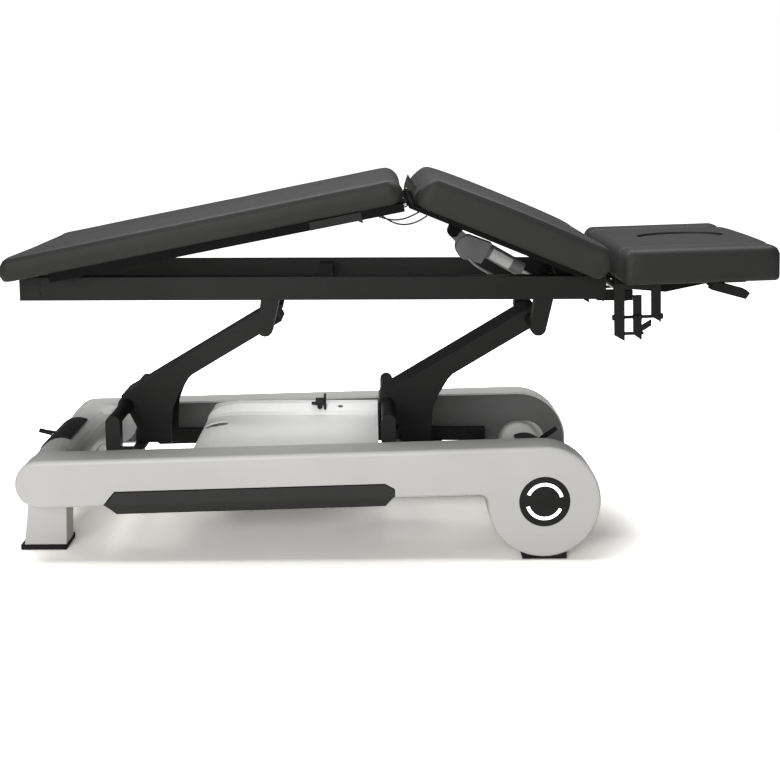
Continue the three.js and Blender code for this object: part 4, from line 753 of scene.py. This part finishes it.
def lead_curve(name, points, radius, material):
    curve = bpy.data.curves.new(name, "CURVE")
    curve.dimensions = "3D"
    curve.bevel_depth = radius
    curve.bevel_resolution = LEAD_ROUNDNESS
    curve.use_fill_caps = True
    spline = curve.splines.new("NURBS")
    spline.points.add(len(points) - 1)
    for target, (x, y, z) in zip(spline.points, points):
        target.co = (x * MM + ORIGIN_X, y * MM, z * MM, 1)
    spline.order_u = SPLINE_ORDER
    spline.use_endpoint_u = True
    made = bpy.data.objects.new(name, curve)
    bpy.context.scene.collection.objects.link(made)
    curve.materials.append(material)
    return made


def to_mesh(piece):
    graph = bpy.context.evaluated_depsgraph_get()
    mesh = bpy.data.meshes.new_from_object(piece.evaluated_get(graph))
    made = bpy.data.objects.new(piece.name + "_skin", mesh)
    bpy.context.scene.collection.objects.link(made)
    bpy.data.objects.remove(piece)
    mesh.polygons.foreach_set("use_smooth", [True] * len(mesh.polygons))
    return made


for name, points in APEX_LEADS.items():
    lead = to_mesh(lead_curve(name + "_loop", points, APEX_LEAD_RADIUS, lead_skin))
    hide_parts(name)
    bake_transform(lead)
    print(name, len(lead.data.vertices), "points")

drive_lead = lead_curve("drive_lead", DRIVE_LEAD, DRIVE_LEAD_RADIUS, pale_skin)
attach(drive_lead, "middle_section")
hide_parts("motor_lead")

# %% [markdown]
# The drive's tube carries a bare white label that wraps a quarter of the way round it. It is a thin curved
# sheet, a little larger than the tube that it sticks to. It is made along the drive's own axis and then
# turned to the drive's slope.

# %% Label on the drive
KNUCKLE = Vector((0.182107 + ORIGIN_X, 0, 0.835776))
DRIVE_ANGLE = 29.478
LABEL_RADIUS, LABEL_THICK = 22.3 * MM, 0.4 * MM
LABEL_ALONG, LABEL_TURN, LABEL_STEPS = (124 * MM, 188 * MM), (-48, 40), 16
LABEL_EDGE_ANGLE = math.radians(40)
PAPER_RGB = (0.62, 0.62, 0.61)


def wrap(name, along, turn, radius, thick):
    """A curved sheet round a tube: one four-sided ring of points at each step of the turn."""
    rings = []
    for i in range(LABEL_STEPS + 1):
        angle = math.radians(turn[0] + (turn[1] - turn[0]) * i / LABEL_STEPS)
        inner, outer = ([(u, -reach * math.cos(angle), reach * math.sin(angle)) for u in along]
                        for reach in (radius, radius + thick))
        rings.append([inner[0], inner[1], outer[1], outer[0]])
    return skin(name, rings)


paper = surface("label_paper", PAPER_RGB, rough=0.5, tone=dict(scale=60, change=0.04),
                wear=dict(scale=90, low=0.44, high=0.58))
label = wrap("drive_label", LABEL_ALONG, LABEL_TURN, LABEL_RADIUS, LABEL_THICK)
label.data.transform(Matrix.Translation(KNUCKLE) @ Matrix.Rotation(math.radians(DRIVE_ANGLE), 4, "Y"))
label.data.materials.append(paper)
label.data.set_sharp_from_angle(angle=LABEL_EDGE_ANGLE)
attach(label, "back_motor")
print("label", len(label.data.vertices), "points")

# %% [markdown]
# The picture has a white ground with a soft, warm shadow under the table. The floor is a plain pale plane.
# Camera rays see it about twice as bright, so that it reads as white where it is fully lit and still keeps
# the shadow where it is not. Stronger lamps would whiten it too, but they would wash out the pale covers.
# Beyond the shadow's reach the floor turns to plain white for camera rays.

# %% Floor
FLOOR_SIDE, FLOOR_FRONT, FLOOR_BACK = 30, -12, 40
FLOOR_RGB, PALE_RGBA = (0.92, 0.90, 0.87), (0.95, 0.93, 0.89, 1)
FLOOR_ROUGH, FLOOR_SPECULAR = 0.9, 0.1
FADE_FROM, FADE_TO = 0.92, 1.2
SHADOW_MIDDLE_X, SHADOW_HALF_LENGTH, SHADOW_HALF_DEPTH = -0.19, 0.86, 0.74

floor_mesh = bpy.data.meshes.new("floor")
floor_corners = [(-FLOOR_SIDE, FLOOR_FRONT, 0), (FLOOR_SIDE, FLOOR_FRONT, 0),
                 (FLOOR_SIDE, FLOOR_BACK, 0), (-FLOOR_SIDE, FLOOR_BACK, 0)]
floor_mesh.from_pydata(floor_corners, [], [(0, 1, 2, 3)])
floor = bpy.data.objects.new("floor", floor_mesh)
bpy.context.scene.collection.objects.link(floor)

ground, diffuse = finish("studio_floor", FLOOR_RGB, FLOOR_ROUGH, specular=FLOOR_SPECULAR)
rays = node(ground, "ShaderNodeLightPath")
pale = node(ground, "ShaderNodeBsdfDiffuse", Color=PALE_RGBA)
doubled = node(ground, "ShaderNodeAddShader")
link(ground, diffuse.outputs["BSDF"], doubled.inputs[0])
link(ground, pale.outputs["BSDF"], doubled.inputs[1])
seen = node(ground, "ShaderNodeMixShader")
link(ground, rays.outputs["Is Camera Ray"], seen.inputs["Fac"])
link(ground, diffuse.outputs["BSDF"], seen.inputs[1])
link(ground, doubled.outputs["Shader"], seen.inputs[2])

# An oval round the shadow: 1 on its rim, more outside
place = node(ground, "ShaderNodeTexCoord")
stretch = node(ground, "ShaderNodeMapping", Scale=(1 / SHADOW_HALF_LENGTH, 1 / SHADOW_HALF_DEPTH, 1),
               Location=(-SHADOW_MIDDLE_X / SHADOW_HALF_LENGTH, 0, 0))
reach = node(ground, "ShaderNodeVectorMath", operation="LENGTH")
fade = node(ground, "ShaderNodeMapRange", interpolation_type="SMOOTHSTEP")
fade.inputs["From Min"].default_value = FADE_FROM
fade.inputs["From Max"].default_value = FADE_TO
far_white = node(ground, "ShaderNodeMath", operation="MULTIPLY")
glow = node(ground, "ShaderNodeEmission")
total = node(ground, "ShaderNodeAddShader")
link(ground, place.outputs["Object"], stretch.inputs["Vector"])
link(ground, stretch.outputs["Vector"], reach.inputs[0])
link(ground, reach.outputs["Value"], fade.inputs["Value"])
link(ground, fade.outputs["Result"], far_white.inputs[0])
link(ground, rays.outputs["Is Camera Ray"], far_white.inputs[1])
link(ground, far_white.outputs["Value"], glow.inputs["Strength"])
link(ground, seen.outputs["Shader"], total.inputs[0])
link(ground, glow.outputs["Emission"], total.inputs[1])
link(ground, total.outputs["Shader"], ground.node_tree.nodes["Material Output"].inputs["Surface"])
floor_mesh.materials.append(ground)
print("floor", 2 * FLOOR_SIDE, "by", FLOOR_BACK - FLOOR_FRONT, "metres")

# %% [markdown]
# The world is white for the camera and dim for everything else, so that it fills the shadows only a little.
# Two large soft lamps, one above and one in front, light the table. A small weak one under the bed lifts
# the centre cover, which would otherwise lie in the bed's shade.

# %% World and lamps
WORLD_DIM, WORLD_WHITE = 0.11, 1.0
LAMPS = {
    "overhead": dict(where=(0, 0.5, 3.4), target=(0, 0, 0.3), size=(4.4, 2.6), power=165),
    "front": dict(where=(-1.2, -4.8, 1.7), target=(0, 0, 0.4), size=(3.6, 2.0), power=135),
    "under_bed": dict(where=(-0.29, -0.12, 0.6), target=(-0.29, -0.08, 0.28), size=(0.5, 0.2), power=0.4,
                      spread=90),
}

world = bpy.data.worlds.new("studio")
world.use_nodes = True
bpy.context.scene.world = world
sky = world.node_tree.nodes["Background"]
sky.inputs["Color"].default_value = (1, 1, 1, 1)
world_rays = node(world, "ShaderNodeLightPath")
strength = node(world, "ShaderNodeMapRange")
strength.inputs["To Min"].default_value = WORLD_DIM
strength.inputs["To Max"].default_value = WORLD_WHITE
link(world, world_rays.outputs["Is Camera Ray"], strength.inputs["Value"])
link(world, strength.outputs["Result"], sky.inputs["Strength"])


def lamp(name, where, target, size, power, spread=180):
    """A rectangular lamp that faces its target, with its spread in degrees."""
    data = bpy.data.lights.new(name, "AREA")
    data.shape = "RECTANGLE"
    data.size, data.size_y = size
    data.energy = power
    data.spread = math.radians(spread)
    made = bpy.data.objects.new(name, data)
    bpy.context.scene.collection.objects.link(made)
    made.location = where
    made.rotation_mode = "QUATERNION"
    made.rotation_quaternion = (Vector(target) - Vector(where)).to_track_quat("-Z", "Y")


for name, settings in LAMPS.items():
    lamp(name, **settings)
bpy.context.scene.view_settings.view_transform = "Standard"
print("lamps", len(LAMPS))
